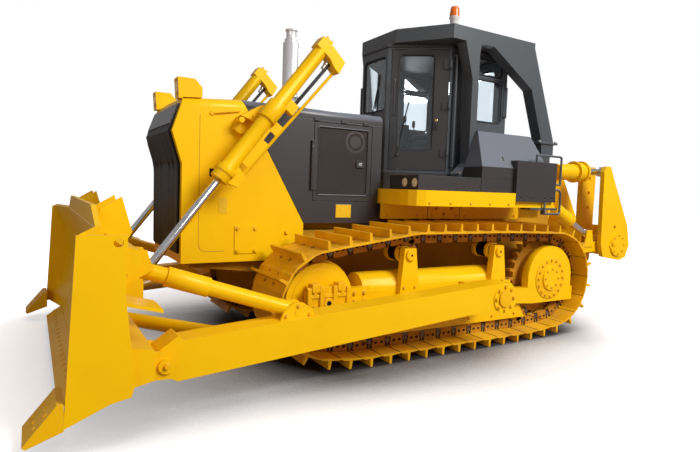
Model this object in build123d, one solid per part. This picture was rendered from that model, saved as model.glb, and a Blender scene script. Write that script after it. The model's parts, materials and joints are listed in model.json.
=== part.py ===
from build123d import *
import math
import os

# Crawler bulldozer. Millimetres. X forward, Y to the machine's left, Z up.
# All lengths below are measured from the sprocket axle (x = 0), the centre line (y = 0)
# and the ground (z = 0). The last lines move the model so that x = 0 is mid-length.

# ---- driving dimensions -------------------------------------------------------------
TRACK_Y = 1070  # centre of each track
SHOE_WIDTH = 710
SHOES = 41
SPROCKET_Z = 695
SPROCKET_R = 496  # pin circle
TEETH = 27
IDLER_X, IDLER_Z = 3150, 640
IDLER_R = 432
ROLLER_Z = 335
ROLLER_R = 112
ROLLER_X = [520 + 365 * n for n in range(7)]
CARRIER_Z = 1055
CARRIER_R = 98
CARRIER_X = (900, 2170)
LINK_DEPTH = 55  # pin line to the rollers' running face
PLATE_OUT = 85  # pin line to the shoe plate's ground side
GROUSER_OUT = 165  # pin line to the grouser's tip

TRUNNION = (1309, 634)  # push arm pivot, x and z
TRUNNION_R = 80
ARM_Y = (1540, 1780)
BLADE_HALF = 2015
WING_Y = 1450
WING_SWEEP = 130

LIFT_Y = 850
LIFT_YOKE = (3543, 2401)
LIFT_EYE = (4762, 813)
LIFT_BARREL_R = 72
LIFT_ROD_R = 38

HOOD_HALF = 600
CAB_PLAN = [(1850, 275), (1265, 735), (330, 735)]
CAB_FLOOR_Z = 1930
CAB_TOP_Z = 3390
CAB_WALL = 50
FENDER_Z = 1720
FENDER_Y = 1300
POST_Y = (800, 950)
ROPS_TOP_Z = 3590

RIPPER_Y = 360
RIPPER_LOW = (-1200, 880)  # tractor pin of the lower link
RIPPER_REACH = (-1250, 60)  # tractor pin to tool beam pin
RIPPER_RISE = (200, 1170)  # lower pins to upper pins
RIPPER_LIFT = (-1000, 1600)
RIPPER_LIFT_EYE = (-2000, 1130)
RIPPER_PLATE_Y = (430, 500)
PIN_R = 50
FIT = 0.5  # radial play of pins and rods

MID_X = 1315  # middle of the overall length

nodes = {}


# ---- helpers ------------------------------------------------------------------------
def block(x0, x1, y0, y1, z0, z1):
    size = (x1 - x0, y1 - y0, z1 - z0)
    return Pos(x0, y0, z0) * Box(*size, align=(Align.MIN, Align.MIN, Align.MIN))


def side_plate(points, y0, y1):
    """A side outline of (x, z) points, from y0 to y1."""
    face = make_face(Polyline(*[(x, y0, z) for x, z in points], close=True))
    return extrude(face, amount=y1 - y0, dir=(0, 1, 0))


def plan_plate(points, z0, z1):
    """A plan outline of (x, y) points, from z0 to z1."""
    face = make_face(Polyline(*[(x, y, z0) for x, y in points], close=True))
    return extrude(face, amount=z1 - z0, dir=(0, 0, 1))


def bar(start, end, radius):
    line = Vector(*end) - Vector(*start)
    plane = Plane(origin=start, z_dir=line)
    return plane * Cylinder(radius, line.length, align=(Align.CENTER, Align.CENTER, Align.MIN))


def cross(x, z, y0, y1, radius):
    """A round bar along Y."""
    return bar((x, y0, z), (x, y1, z), radius)


def both(shape):
    return shape + mirror(shape, about=Plane.XZ)


def two_sides(name, shape):
    nodes[name + "_left"] = shape
    nodes[name + "_right"] = mirror(shape, about=Plane.XZ)


# ---- tracks -------------------------------------------------------------------------
def track_loop():
    """Pin line of a track: the taut loop round its wheels, in the plane y = 0."""
    flat_r = ROLLER_R + 3 + LINK_DEPTH
    carrier_r = CARRIER_R + 4 + LINK_DEPTH
    wheels = [(0, SPROCKET_Z, SPROCKET_R), (IDLER_X, IDLER_Z, IDLER_R)]
    wheels += [(x, ROLLER_Z, flat_r) for x in (ROLLER_X[0] - 120, ROLLER_X[-1] + 120)]
    wheels += [(x, CARRIER_Z, carrier_r) for x in CARRIER_X]
    circles = [Pos(x, z) * Edge.make_circle(r) for x, z, r in wheels]
    return make_hull(circles).face().outer_wire()


def track_pins():
    loop = track_loop()
    return [loop.position_at(n / SHOES) for n in range(SHOES)]


def along(pins, shape):
    """The (along, out) points of shape, where along is -1 to 1 over a link, on every link."""
    centre = Vector(IDLER_X / 2, SPROCKET_Z)
    points = []
    for first, second in zip(pins, pins[1:] + pins[:1]):
        middle = (first + second) / 2
        step = (second - first) / 2
        out = Vector(step.Y, -step.X).normalized()
        if out.dot(middle - centre) < 0:
            out = out * -1
        points += [tuple(middle + step * a + out * b)[:2] for a, b in shape]
    return points


PINS = track_pins()
SHOE = [(-0.94, 78), (-0.16, PLATE_OUT), (-0.1, GROUSER_OUT), (0.1, GROUSER_OUT),
        (0.16, PLATE_OUT), (0.7, PLATE_OUT), (0.94, 72)]
SHOE_INSIDE = [(-0.9, 62), (0.9, 62)]
LINK_INSIDE = [(-0.9, -36), (-0.6, -LINK_DEPTH), (0.6, -LINK_DEPTH), (0.9, -36)]
LINK_OUTSIDE = [(-0.9, 63), (0.9, 63)]


def track():
    y0 = TRACK_Y - SHOE_WIDTH / 2
    shoes = side_plate(along(PINS, SHOE), y0, y0 + SHOE_WIDTH)
    shoes -= side_plate(along(PINS, SHOE_INSIDE), y0 - 1, y0 + SHOE_WIDTH + 1)
    for rail in (-100, 100):
        low = TRACK_Y + rail - 25
        link = side_plate(along(PINS, LINK_OUTSIDE), low, low + 50)
        shoes += link - side_plate(along(PINS, LINK_INSIDE), low - 1, low + 51)
    return shoes


two_sides("track", track())


# ---- wheels -------------------------------------------------------------------------
def sprocket():
    rear = min(PINS, key=lambda p: p.X)
    first = math.degrees(math.atan2(rear.Y - SPROCKET_Z, rear.X)) + 180 / TEETH
    step = 360 / TEETH
    outline = []
    for n in range(TEETH):
        for turn, r in ((-2.6, 450), (-1.4, 512), (1.4, 512), (2.6, 450)):
            a = math.radians(first + n * step + turn)
            outline.append((r * math.cos(a), SPROCKET_Z + r * math.sin(a)))
    return side_plate(outline, TRACK_Y - 40, TRACK_Y + 40)


def turned(x, z, rings):
    """A wheel on a Y axis at (x, z) from rings of (from y, to y, radius)."""
    shape = None
    for y0, y1, r in rings:
        ring = cross(x, z, TRACK_Y + y0, TRACK_Y + y1, r)
        shape = ring if shape is None else shape + ring
    return shape


IDLER_RINGS = [(-125, 125, 358), (-60, 60, 384), (-131, -125, 300), (125, 131, 300)]
ROLLER_RINGS = [(-150, 150, ROLLER_R), (-150, -132, 130), (132, 150, 130)]
CARRIER_RINGS = [(-135, 135, CARRIER_R - 15), (-128, -72, CARRIER_R), (72, 128, CARRIER_R)]

hub = cross(0, SPROCKET_Z, TRACK_Y - 125, TRACK_Y + 120, 330)
nodes["sprockets"] = both(sprocket() + hub)

idler = turned(IDLER_X, IDLER_Z, IDLER_RINGS)


nodes["idlers"] = both(idler)

rollers = None
for x in ROLLER_X:
    roller = turned(x, ROLLER_Z, ROLLER_RINGS)
    rollers = roller if rollers is None else rollers + roller
nodes["track_rollers"] = both(rollers)

carriers = None
for x in CARRIER_X:
    carrier = turned(x, CARRIER_Z, CARRIER_RINGS)
    carriers = carrier if carriers is None else carriers + carrier
nodes["carrier_rollers"] = both(carriers)


# ---- track frames -------------------------------------------------------------------
FRAME_Y = (TRACK_Y - 170, TRACK_Y + 170)
REAR_BAR = [(-430, 400), (-430, 570), (800, 610), (800, 440), (300, 400)]


def track_frame():
    y0, y1 = FRAME_Y
    beam = side_plate([(560, 490), (2700, 490), (2760, 560), (2760, 700), (640, 700)], y0, y1)
    beam += bar((900, TRACK_Y, 700), (2700, TRACK_Y, 700), 168)
    beam += side_plate(REAR_BAR, 1203, 1300)
    beam += block(600, 900, y1 - 20, 1300, 490, 605)
    for low in (TRACK_Y - 225, TRACK_Y + 135):  # idler arms either side of the wheel
        beam += side_plate([(2650, 590), (3330, 590), (3330, 740), (2650, 760)], low, low + 90)
    for x in CARRIER_X:  # posts that hold the carrier rollers
        outline = [(x - 130, 640), (x - 70, 1120), (x + 75, 1120), (x + 120, 640)]
        beam += side_plate(outline, TRACK_Y + 145, TRACK_Y + 225)
    beam += block(1180, 1440, y1 - 20, 1500, 540, 730)  # carries the blade's trunnion
    beam += cross(*TRUNNION, 1480, 1800, TRUNNION_R)
    for low in (TRACK_Y - 195, TRACK_Y + 155):  # roller guards
        beam += side_plate([(380, 240), (2850, 240), (2760, 520), (560, 520)], low, low + 30)
    beam += cross(700, 600, 430, y0 + 10, 110)  # pivot shaft from the hull
    beam -= cross(IDLER_X, IDLER_Z, TRACK_Y - 134, TRACK_Y + 134, 400)
    beam -= cross(0, SPROCKET_Z, TRACK_Y - 132, TRACK_Y + 132, 530)
    for x in ROLLER_X:
        beam -= cross(x, ROLLER_Z, TRACK_Y - 154, TRACK_Y + 154, 140)
    for x in CARRIER_X:
        beam -= cross(x, CARRIER_Z, TRACK_Y - 140, TRACK_Y + 138, 110)
    return beam


nodes["track_frames"] = both(track_frame())

# ---- final drives -------------------------------------------------------------------
DRIVE_R = 395


def sprocket_guard():
    y0, y1 = TRACK_Y + 134, 1300
    body = cross(0, SPROCKET_Z, y0, y1, DRIVE_R)
    body += block(-DRIVE_R, DRIVE_R, y0, y1, 560, SPROCKET_Z)
    body += cross(0, SPROCKET_Z, y1, y1 + 30, 150)
    return body - side_plate([(-430, 300), (-430, 570), (800, 610), (800, 300)], 1200, 1305)


nodes["sprocket_guards"] = both(sprocket_guard())
nodes["final_drives"] = both(cross(0, SPROCKET_Z, 500, TRACK_Y - 126, 300))


# ---- hull ---------------------------------------------------------------------------
HULL_HALF = 498
HULL = [(-900, 640), (-900, 1720), (700, 1720), (900, 1250), (3400, 1250), (3500, 1010),
        (4200, 1010), (4200, 900), (3300, 800), (2900, 560), (-700, 560)]
nodes["main_frame"] = side_plate(HULL, -HULL_HALF, HULL_HALF) - both(cross(700, 600, 420, 500, 111))
nodes["belly_guard"] = side_plate([(-700, 560), (-600, 500), (560, 500), (560, 560)], -480, 480)
nodes["belly_guard"] += side_plate([(840, 560), (840, 500), (2800, 500), (2900, 560)], -480, 480)
nodes["engine"] = block(2300, 3350, -360, 360, 1250, 2260)


# ---- radiator guard and hood --------------------------------------------------------
GUARD_SIDE = [(3060, 955), (3060, 1330), (3750, 2530), (4300, 2490), (4400, 2180),
              (4310, 1886), (4310, 955)]
GUARD_INSIDE = [(3000, 900), (3000, 1300), (3745, 2490), (4270, 2455), (4365, 2180),
                (4275, 1886), (4275, 900)]
GRILLE = [(4240, 1045), (4240, 1886), (4330, 2180), (4235, 2440), (4320, 2440), (4425, 2180),
          (4335, 1886), (4335, 1045)]
GRILLE_HALF = 538
SHOULDER_R = 80
HOOD_REAR = 2110
ENGINE_DOOR_X = (2240, 2962)
ENGINE_DOOR_Z = (1560, 2396)
ENGINE_MESH = (2295, 2915, 1631, 2347)
ENGINE_HINGE = (2985, 617)  # x and y of the upright hinge line
DOOR_GAP = 6


def rounded_shoulders(shape, low):
    """Rounds the two fore-and-aft top edges above z = low."""
    edges = [e for e in shape.edges()
             if e.center().Z > low and abs(abs(e.center().Y) - HOOD_HALF) < 1 and e.length > 200]
    return fillet(edges, SHOULDER_R)


guard = rounded_shoulders(side_plate(GUARD_SIDE, -HOOD_HALF, HOOD_HALF), 2500)
guard -= side_plate(GUARD_INSIDE, 40 - HOOD_HALF, HOOD_HALF - 40)
guard -= side_plate([(4200, 1045), (4200, 2440), (4500, 2440), (4500, 1045)], -GRILLE_HALF, GRILLE_HALF)
guard -= side_plate([(3000, 900), (3000, 1010), (4250, 1010), (4250, 890)], -HULL_HALF, HULL_HALF)
guard -= both(block(3962, 4056, HOOD_HALF - 50, HOOD_HALF + 1, 1775, 1852))  # access window
guard += both(block(3562, 3800, HOOD_HALF, HOOD_HALF + 10, 1034, 1308))  # bolted cover
guard += both(block(3874, 3967, HOOD_HALF, HOOD_HALF + 3, 1422, 1586))  # blank plate
for x, z in ((3248, 1236), (3337, 1072), (3590, 1062), (3772, 1062), (3590, 1280), (3772, 1280)):
    guard += both(cross(x, z, HOOD_HALF, HOOD_HALF + 22, 14))
nodes["radiator_guard"] = guard
nodes["grille"] = side_plate(GRILLE, -GRILLE_HALF, GRILLE_HALF)

LAMP = [(4124, 2480), (4124, 2595), (4194, 2668), (4350, 2668), (4338, 2480)]
lamp = side_plate(LAMP, 430, 575) - side_plate([(4330, 2510), (4330, 2650), (4400, 2650), (4400, 2510)], 445, 560)
lamp += bar((4250, 502, 2582), (4346, 502, 2582), 58)
nodes["front_lamps"] = both(lamp - side_plate(GUARD_SIDE, 400, 600))


def hood():
    profile = [(3745, 2530), (HOOD_REAR, 2530), (HOOD_REAR, 1330), (3055, 1330)]
    shell = rounded_shoulders(side_plate(profile, -HOOD_HALF, HOOD_HALF), 2500)
    shell -= block(HOOD_REAR + 20, 3800, 40 - HOOD_HALF, HOOD_HALF - 40, 1200, 2490)
    (x0, x1), (z0, z1) = ENGINE_DOOR_X, ENGINE_DOOR_Z
    shell -= both(block(x0, x1, HOOD_HALF - 41, HOOD_HALF + 1, z0, z1))
    shell -= both(block(HOOD_REAR - 1, 3740, HOOD_HALF - 3, HOOD_HALF + 1, 2411, 2417))  # panel seam
    shell += both(block(2484, 2682, HOOD_HALF, HOOD_HALF + 3, 1385, 1535))  # blank plate
    for x in (2331, 2611, 2939):  # hinge tabs of the top panel
        shell += both(block(x - 32, x + 32, HOOD_HALF - 4, HOOD_HALF + 12, 2402, 2432))
    return shell - side_plate(GUARD_SIDE, -700, 700)


def engine_door():
    (x0, x1), (z0, z1) = ENGINE_DOOR_X, ENGINE_DOOR_Z
    a0, a1, b0, b1 = ENGINE_MESH
    door = block(x0 + DOOR_GAP, x1 - DOOR_GAP, HOOD_HALF - 38, HOOD_HALF, z0 + DOOR_GAP, z1 - DOOR_GAP)
    door -= block(a0, a1, HOOD_HALF - 26, HOOD_HALF + 1, b0, b1)
    hinge_x, hinge_y = ENGINE_HINGE
    door += block(a1 + 8, hinge_x, HOOD_HALF + 6, HOOD_HALF + 12, 1680, 2200)
    door += block(a1 + 8, x1 - DOOR_GAP, HOOD_HALF, HOOD_HALF + 12, 1680, 2200)
    return door + bar((hinge_x, hinge_y, 1680), (hinge_x, hinge_y, 2200), 11)


nodes["hood"] = hood()
two_sides("engine_door", engine_door())

EXHAUST_X = 2980
EXHAUST = [(2520, 2700, 72), (2700, 2722, 104), (2722, 3310, 92), (3345, 3436, 60), (3436, 3455, 70)]
pipe = bar((EXHAUST_X, 0, 3300), (EXHAUST_X, 0, 3350), 76)
for low, high, radius in EXHAUST:  # from z, to z, radius
    pipe += bar((EXHAUST_X, 0, low), (EXHAUST_X, 0, high), radius)
nodes["exhaust"] = pipe - nodes["hood"] - bar((EXHAUST_X, 0, 3400), (EXHAUST_X, 0, 3500), 54)


# ---- fenders, boxes and tank --------------------------------------------------------
DECK = [(-5, 502), (905, 502), (905, 0), (2105, 0), (2105, 602), (2140, 602), (2170, 700), (2170, 1060),
        (2150, 1180), (2100, 1262), (2010, FENDER_Y), (690, FENDER_Y), (690, 1250), (-5, 1250)]
UNDER_DECK = [(-10, -10), (2105, -10), (2105, 590), (2122, 604), (2150, 704), (2150, 1056), (2131, 1172),
              (2086, 1246), (2003, 1280), (710, 1280), (710, 1230), (-10, 1230)]
SKIRTS = [(-45, 976), (992, 1477), (1493, 2140)]  # rear and front of each skirt plate
SKIRT_HOLES = [(1120, 1510), (1240, 1440), (1360, 1510), (1240, 1560)]


def fender():
    deck = plan_plate(DECK, 1555, FENDER_Z) - plan_plate(UNDER_DECK, 1500, FENDER_Z - 30)
    deck += block(-5, 2130, 650, 670, 1400, FENDER_Z - 20)
    deck += block(-5, 790, HULL_HALF, 660, 1400, 1430)
    deck += block(70, 380, 1090, 1110, 1420, FENDER_Z - 20)  # step box support
    deck += block(70, 380, 670, 1110, 1600, FENDER_Z - 20)
    for rear, front in SKIRTS:
        deck += block(rear, front, 670, 695, 1385, 1600)
    for x, z in SKIRT_HOLES:
        deck -= cross(x, z, 660, 700, 24)
    return deck


def across(points, x0, x1):
    """A front outline of (y, z) points, from x0 to x1."""
    face = make_face(Polyline(*[(x0, y, z) for y, z in points], close=True))
    return extrude(face, amount=x1 - x0, dir=(1, 0, 0))


nodes["fenders"] = both(fender())

side_box = block(1198, 2080, 740, 1250, FENDER_Z, 1875)
for y in (1010, 1180):  # round vents in the front face
    side_box -= bar((2068, y, 1797), (2090, y, 1797), 50)
    side_box += bar((2060, y, 1797), (2074, y, 1797), 34)
nodes["side_boxes"] = both(side_box)

BOX_OUTER = [(955, FENDER_Z), (1250, FENDER_Z), (1250, 2005), (985, 2430), (955, 2430)]
BOX_INNER = [(765, FENDER_Z), (970, FENDER_Z), (970, 2430), (765, 2430)]
BOX_SIDE = [(100, FENDER_Z), (1192, FENDER_Z), (1192, 2005), (1030, 2430), (135, 2430), (100, 2208)]


def rear_box():
    body = across(BOX_OUTER, 100, 1192) + across(BOX_INNER, 100, 955)
    body = body & side_plate(BOX_SIDE, 700, 1260)
    for z in (1868, 2004):  # seams below the lid
        body -= block(690, 1200, 1247, 1260, z, z + 5)
    return body


nodes["rear_boxes"] = both(rear_box())

STEP_BOX = [(1252, 1627), (FENDER_Y, 1627), (FENDER_Y, 2100), (1194, 2100), (1252, 2010)]
step_box = across(STEP_BOX, -5, 686)
step_box += block(-5, 95, 1090, 1252, FENDER_Z, 2000)
for x in (60, 190, 400, 600):
    step_box -= cross(x, 1668, 1285, 1301, 12)
nodes["step_boxes"] = both(step_box)

# grab rails and rear step, each a bent tube: radius and the corners it passes
RAILS = [(13, [(338, 1275, 2090), (338, 1275, 2182), (-64, 1285, 2182), (-96, 1285, 2171), (-96, 1285, 1843),
               (0, 1285, 1843)]),
         (13, [(0, 1285, 1774), (-80, 1285, 1774), (-112, 1285, 1740), (-112, 1285, 1500), (-95, 1285, 1484),
               (165, 1285, 1484), (165, 1285, 1640)])]


def bent_tube(radius, corners):
    tube_shape = None
    for start, end in zip(corners, corners[1:]):
        piece = bar(start, end, radius) + Pos(*end) * Sphere(radius)
        tube_shape = piece if tube_shape is None else tube_shape + piece
    return tube_shape


rails = block(-87, 400, 1120, 1275, 1530, 1553)  # step tread
rails += block(150, 180, 1240, 1290, 1475, 1560)
for radius, corners in RAILS:
    rails += bent_tube(radius, corners)

TANK = [(-590, FENDER_Z), (590, FENDER_Z), (590, 1722), (755, 1740), (755, 2090), (695, 2150),
        (-695, 2150), (-755, 2090), (-755, 1740), (-590, 1722)]
nodes["fuel_tank"] = across(TANK, -700, 95)


# ---- cab ----------------------------------------------------------------------------
def cab_outline(inset):
    front, corner, rear = CAB_PLAN
    left = [(front[0] - inset, front[1] - inset * 0.35), (corner[0] - inset * 0.35, corner[1] - inset),
            (rear[0] + inset, rear[1] - inset)]
    return left + [(x, -y) for x, y in reversed(left)]


DOOR_FRONT, DOOR_REAR = 45, 737  # distances from the cab's front corner
DOOR_Z = (1950, 3372)
DOOR_WINDOW = (130, 560, 2184, 3310)  # front, rear, sill and head
DOOR_HINGES = [2170, 2720, 3190]  # heights of the knuckles
DOOR_START = Vector(*CAB_PLAN[0])
DOOR_RUN = (Vector(*CAB_PLAN[1]) - DOOR_START).normalized()
DOOR_IN = Vector(-DOOR_RUN.Y, DOOR_RUN.X)
WINDOW_R = 55


def on_door(along, inward):
    return DOOR_START + DOOR_RUN * along + DOOR_IN * inward


def door_slab(front, rear, low, high, outer, inner):
    """A slab in the angled door face, from outer to inner behind the face."""
    corners = [(front, outer), (rear, outer), (rear, inner), (front, inner)]
    points = [on_door(*corner) for corner in corners]
    return plan_plate([(p.X, p.Y) for p in points], low, high)


def pane(origin, x_dir, z_dir, width, height, depth):
    """A rounded rectangle centred on origin, depth along z_dir."""
    plane = Plane(origin=origin, x_dir=x_dir, z_dir=z_dir)
    return extrude(plane * RectangleRounded(width, height, WINDOW_R), amount=depth)


def door_pane(outer, inner):
    front, rear, sill, head = DOOR_WINDOW
    centre = on_door((front + rear) / 2, outer) + Vector(0, 0, (sill + head) / 2)
    return pane(centre, DOOR_RUN, DOOR_IN, rear - front, head - sill, inner - outer)


# windows in the straight walls: centre, width direction, through direction, width, height
FRONT_WINDOW = ((1850, 0, 2975), (0, 1, 0), (-1, 0, 0), 480, 650)
SIDE_WINDOW = ((650, 735, 2962), (1, 0, 0), (0, -1, 0), 478, 782)
REAR_WINDOW = ((330, 0, 2930), (0, 1, 0), (1, 0, 0), 1120, 740)


def wall_pane(window, outer, inner):
    origin, x_dir, z_dir, width, height = window
    shift = Vector(*z_dir) * outer
    return pane(Vector(*origin) + shift, x_dir, z_dir, width, height, inner - outer)


def cab_walls():
    walls = plan_plate(cab_outline(0), CAB_FLOOR_Z, CAB_TOP_Z)
    walls -= plan_plate(cab_outline(CAB_WALL), CAB_FLOOR_Z - 10, CAB_TOP_Z + 10)
    walls -= both(door_slab(DOOR_FRONT, DOOR_REAR, *DOOR_Z, -5, CAB_WALL + 40))
    walls -= wall_pane(FRONT_WINDOW, -1, CAB_WALL + 5) + wall_pane(REAR_WINDOW, -1, CAB_WALL + 5)
    walls -= both(wall_pane(SIDE_WINDOW, -1, CAB_WALL + 5))
    return walls + both(block(405, 895, 690, 731, 3108, 3136))  # bar across the side window


nodes["cab_walls"] = cab_walls()
side_glass = wall_pane(SIDE_WINDOW, 18, 26) - block(400, 900, 680, 740, 3107, 3137)
nodes["cab_glass"] = both(side_glass) + wall_pane(FRONT_WINDOW, 18, 26) + wall_pane(REAR_WINDOW, 18, 26)
nodes["cab_floor"] = plan_plate(cab_outline(0), FENDER_Z, CAB_FLOOR_Z)
nodes["cab_roof"] = plan_plate(cab_outline(-15), CAB_TOP_Z, CAB_TOP_Z + 35)


def cab_door():
    door = door_slab(DOOR_FRONT + DOOR_GAP, DOOR_REAR - DOOR_GAP, DOOR_Z[0] + DOOR_GAP, DOOR_Z[1] - DOOR_GAP,
                     0, CAB_WALL - 8)
    door -= door_pane(-5, CAB_WALL)
    for z in DOOR_HINGES:
        door += door_slab(660, 742, z - 45, z + 45, -14, 0) - door_slab(731, 750, z - 50, z + 50, -7, 1)
        pin = on_door(742, -21)
        door += bar((pin.X, pin.Y, z - 50), (pin.X, pin.Y, z + 50), 13)
    ends = [on_door(95, -45), on_door(95, 1)]
    outer, inner = [(p.X, p.Y) for p in ends]
    door += bent_tube(11, [(*inner, 2600), (*outer, 2600), (*outer, 3000), (*inner, 3000)])
    return door + door_slab(575, 625, 2440, 2530, -18, 0)


two_sides("cab_door", cab_door())
two_sides("door_glass", door_pane(18, 26))

side_rail = bent_tube(15, [(1215, 735, 2010), (1215, 775, 2010), (1215, 775, 3300), (1215, 735, 3300)])
side_rail += bent_tube(11, [(370, 735, 2667), (370, 775, 2667), (370, 775, 3027), (370, 735, 3027)])
rails += side_rail - plan_plate(cab_outline(0), CAB_FLOOR_Z, CAB_TOP_Z)
nodes["grab_rails"] = both(rails) - nodes["step_boxes"] - nodes["fenders"]

seat = block(700, 1180, -260, 260, 2300, 2440) + block(600, 720, -250, 250, 2380, 3050)
nodes["seat"] = seat
consoles = both(block(720, 1230, 300, 400, CAB_FLOOR_Z, 2500))
nodes["seat_base"] = block(760, 1120, -200, 200, CAB_FLOOR_Z, 2300) + consoles
nodes["dash"] = block(1450, 1750, -220, 220, CAB_FLOOR_Z, 2520)


# ---- rollover frame -----------------------------------------------------------------
FRONT_POST = [(1020, FENDER_Z), (1120, FENDER_Z), (1120, 3020), (1250, 3440), (1000, 3440), (1020, 3300)]
POST_FOOT = [(968, 1885), (1255, 1885), (1255, 1925), (1120, 2050), (1020, 2050), (968, 1925)]
REAR_LEG = [(-341, 2390), (-101, 2390), (-101, 2423), (120, 3018), (800, 3432), (800, 3450), (125, 3590),
            (-341, 2413)]


def rops():
    roof = [(1813, 372), (1430, POST_Y[1]), (100, POST_Y[1])]
    frame = plan_plate(roof + [(x, -y) for x, y in reversed(roof)], 3430, ROPS_TOP_Z)
    posts = side_plate(FRONT_POST, *POST_Y) + side_plate(POST_FOOT, POST_Y[0] - 8, POST_Y[1])
    posts += side_plate(REAR_LEG, *POST_Y)
    posts += block(-410, -60, 780, 970, 2365, 2392)  # bolted flange
    posts += block(-350, -120, 790, 950, 2210, 2366)
    posts += block(-310, -130, 800, 940, 1640, 2215)
    posts += block(-310, -130, HULL_HALF, 940, 1640, 1718)
    return frame + both(posts)


nodes["rops"] = rops()

BEACON = [(ROPS_TOP_Z, 3606, 74), (3606, 3690, 48), (3690, 3706, 60), (3706, 3800, 54), (3800, 3818, 40)]
beacon = None
for low, high, radius in BEACON:
    ring = bar((1346, 843, low), (1346, 843, high), radius)
    beacon = ring if beacon is None else beacon + ring
nodes["beacon"] = beacon


# ---- blade --------------------------------------------------------------------------
FACE = [(5250, 1370), (5150, 1080), (5120, 780), (5190, 450), (5330, 200)]
BACK = [(5290, 180), (5190, 290), (5120, 450), (5060, 780), (5090, 1080), (5215, 1390)]
END_PLATE = [(5268, 1367), (5328, 342), (5340, 170), (5074, 284), (4946, 309), (4925, 390),
             (4987, 999), (4973, 1366)]
EYE_BORE = (5027, 1318)  # lifting hole of each end plate, x and z
EYE_BORE_R = 30
ARM_PIN = (4692, 424)


def blade_section(y, shift):
    """Section of the mouldboard at y, moved back by shift."""
    return make_face(Polyline(*[(x - shift, y, z) for x, z in FACE + BACK], close=True))


def blade():
    body = side_plate([(x - WING_SWEEP, z) for x, z in FACE + BACK], -WING_Y, WING_Y)
    body += both(loft([blade_section(WING_Y, WING_SWEEP), blade_section(BLADE_HALF - 40, 0)]))
    end = side_plate(END_PLATE, BLADE_HALF - 40, BLADE_HALF)
    body += both(end - cross(*EYE_BORE, BLADE_HALF - 45, BLADE_HALF + 5, EYE_BORE_R))
    body += side_plate([(4800, 380), (4800, 590), (4960, 620), (5020, 330)], -BLADE_HALF + 45, BLADE_HALF - 45)
    body += side_plate([(4890, 1150), (4890, 1260), (5010, 1300), (4970, 1090)],
                       -BLADE_HALF + 45, BLADE_HALF - 45)
    for y in (1500, 1790):  # lugs of the push arms
        lug = [(4628, 409), (4655, 322), (4900, 335), (4970, 560), (4873, 545), (4700, 520)]
        body += both(side_plate(lug, y, y + 35))
    body += both(cross(*ARM_PIN, 1815, 1845, 55))
    for y in (LIFT_Y - 70, LIFT_Y + 45):  # lugs of the lift rods
        body += both(side_plate([(4690, 720), (4690, 900), (4960, 1000), (4960, 620)], y, y + 25))
    gusset = [(4817, 1310), (4893, 1585), (5047, 1492), (5075, 1340), (4975, 1230), (4860, 1230)]
    for y in (700, 1130):
        body += both(side_plate(gusset, y, y + 25))
    for y in (400, 1250):  # ribs down the back
        body += both(side_plate([(4900, 610), (4965, 600), (4948, 780), (4975, 1080), (4985, 1180), (4900, 1180)], y, y + 30))
    body += both(side_plate([(4740, 1075), (4768, 1151), (4786, 1218), (4960, 1240), (4960, 960)], 1420, 1450))
    body += both(side_plate([(4740, 1075), (4768, 1151), (4786, 1218), (4960, 1240), (4960, 960)], 1590, 1620))
    body += both(side_plate([(4741, 832), (4741, 856), (5040, 938), (5040, 913)], 1640, 1960))
    spill = [(-1500, 1370), (-1140, 1520), (1140, 1520), (1500, 1370)]
    body += across(spill, 5076, 5112)
    return body


nodes["blade"] = blade()
edge = side_plate([(5195, 215), (5160, 195), (5330, 92), (5350, 105)], -WING_Y, WING_Y)
nodes["cutting_edge"] = edge - nodes["blade"]
bit = side_plate([(5335, 330), (5375, 330), (5559, 105), (5540, 88), (5335, 160)],
                 BLADE_HALF - 330, BLADE_HALF)
nodes["end_bits"] = both(bit) - nodes["blade"]


def push_arm():
    y0, y1 = ARM_Y
    arm = side_plate([(1130, 560), (1130, 700), (1220, 790), (1400, 790), (3400, 660), (4560, 575),
                      (4600, 612), (4735, 520), (4780, 470), (4780, 380), (4600, 280), (1500, 520),
                      (1200, 500)], y0, y1)
    for low in (1575, 1705):  # cheeks that hold the brace
        arm += side_plate([(3480, 600), (3500, 700), (3590, 765), (3680, 765), (3760, 700), (3800, 600)],
                          low, low + 30)
    arm += cross(3632, 690, 1570, 1740, 34)
    arm += cross(1309, 634, y1 - 5, y1 + 12, 150)
    return arm - cross(*TRUNNION, y0 - 10, 1810, TRUNNION_R + FIT)


nodes["push_arms"] = both(push_arm()) - nodes["blade"]
brace = bar((3632, 1655, 690), (4890, 1520, 1090), 62)
brace += bar((4330, 1580, 912), (4640, 1547, 1010), 76)
strut = bar((3950, 1540, 450), (4830, 500, 480), 60)
nodes["blade_braces"] = both(brace + strut) - nodes["push_arms"] - nodes["blade"]


# ---- lift cylinders -----------------------------------------------------------------
def toward(start, end, distance):
    share = distance / math.dist(start, end)
    return tuple(a + (b - a) * share for a, b in zip(start, end))


def tube(start, end, y, low, high, radius):
    """A round bar on the line from start to end, between two distances from start."""
    (x0, z0), (x1, z1) = toward(start, end, low), toward(start, end, high)
    return bar((x0, y, z0), (x1, y, z1), radius)


LIFT_CAP, LIFT_GLAND = -883, 822
LIFT_LENGTH = math.dist(LIFT_YOKE, LIFT_EYE)
LIFT_DIR = ((LIFT_EYE[0] - LIFT_YOKE[0]) / LIFT_LENGTH, (LIFT_EYE[1] - LIFT_YOKE[1]) / LIFT_LENGTH)


def beside(along, off):
    """The (x, z) point at a distance along the lift cylinder and off it, towards the rear."""
    u, w = LIFT_DIR
    return LIFT_YOKE[0] + u * along + w * off, LIFT_YOKE[1] + w * along - u * off


def beside_plate(points, half):
    return side_plate([beside(*p) for p in points], LIFT_Y - half, LIFT_Y + half)


def beside_bar(start, end, radius):
    (x0, z0), (x1, z1) = beside(*start), beside(*end)
    return bar((x0, LIFT_Y, z0), (x1, LIFT_Y, z1), radius)


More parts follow.
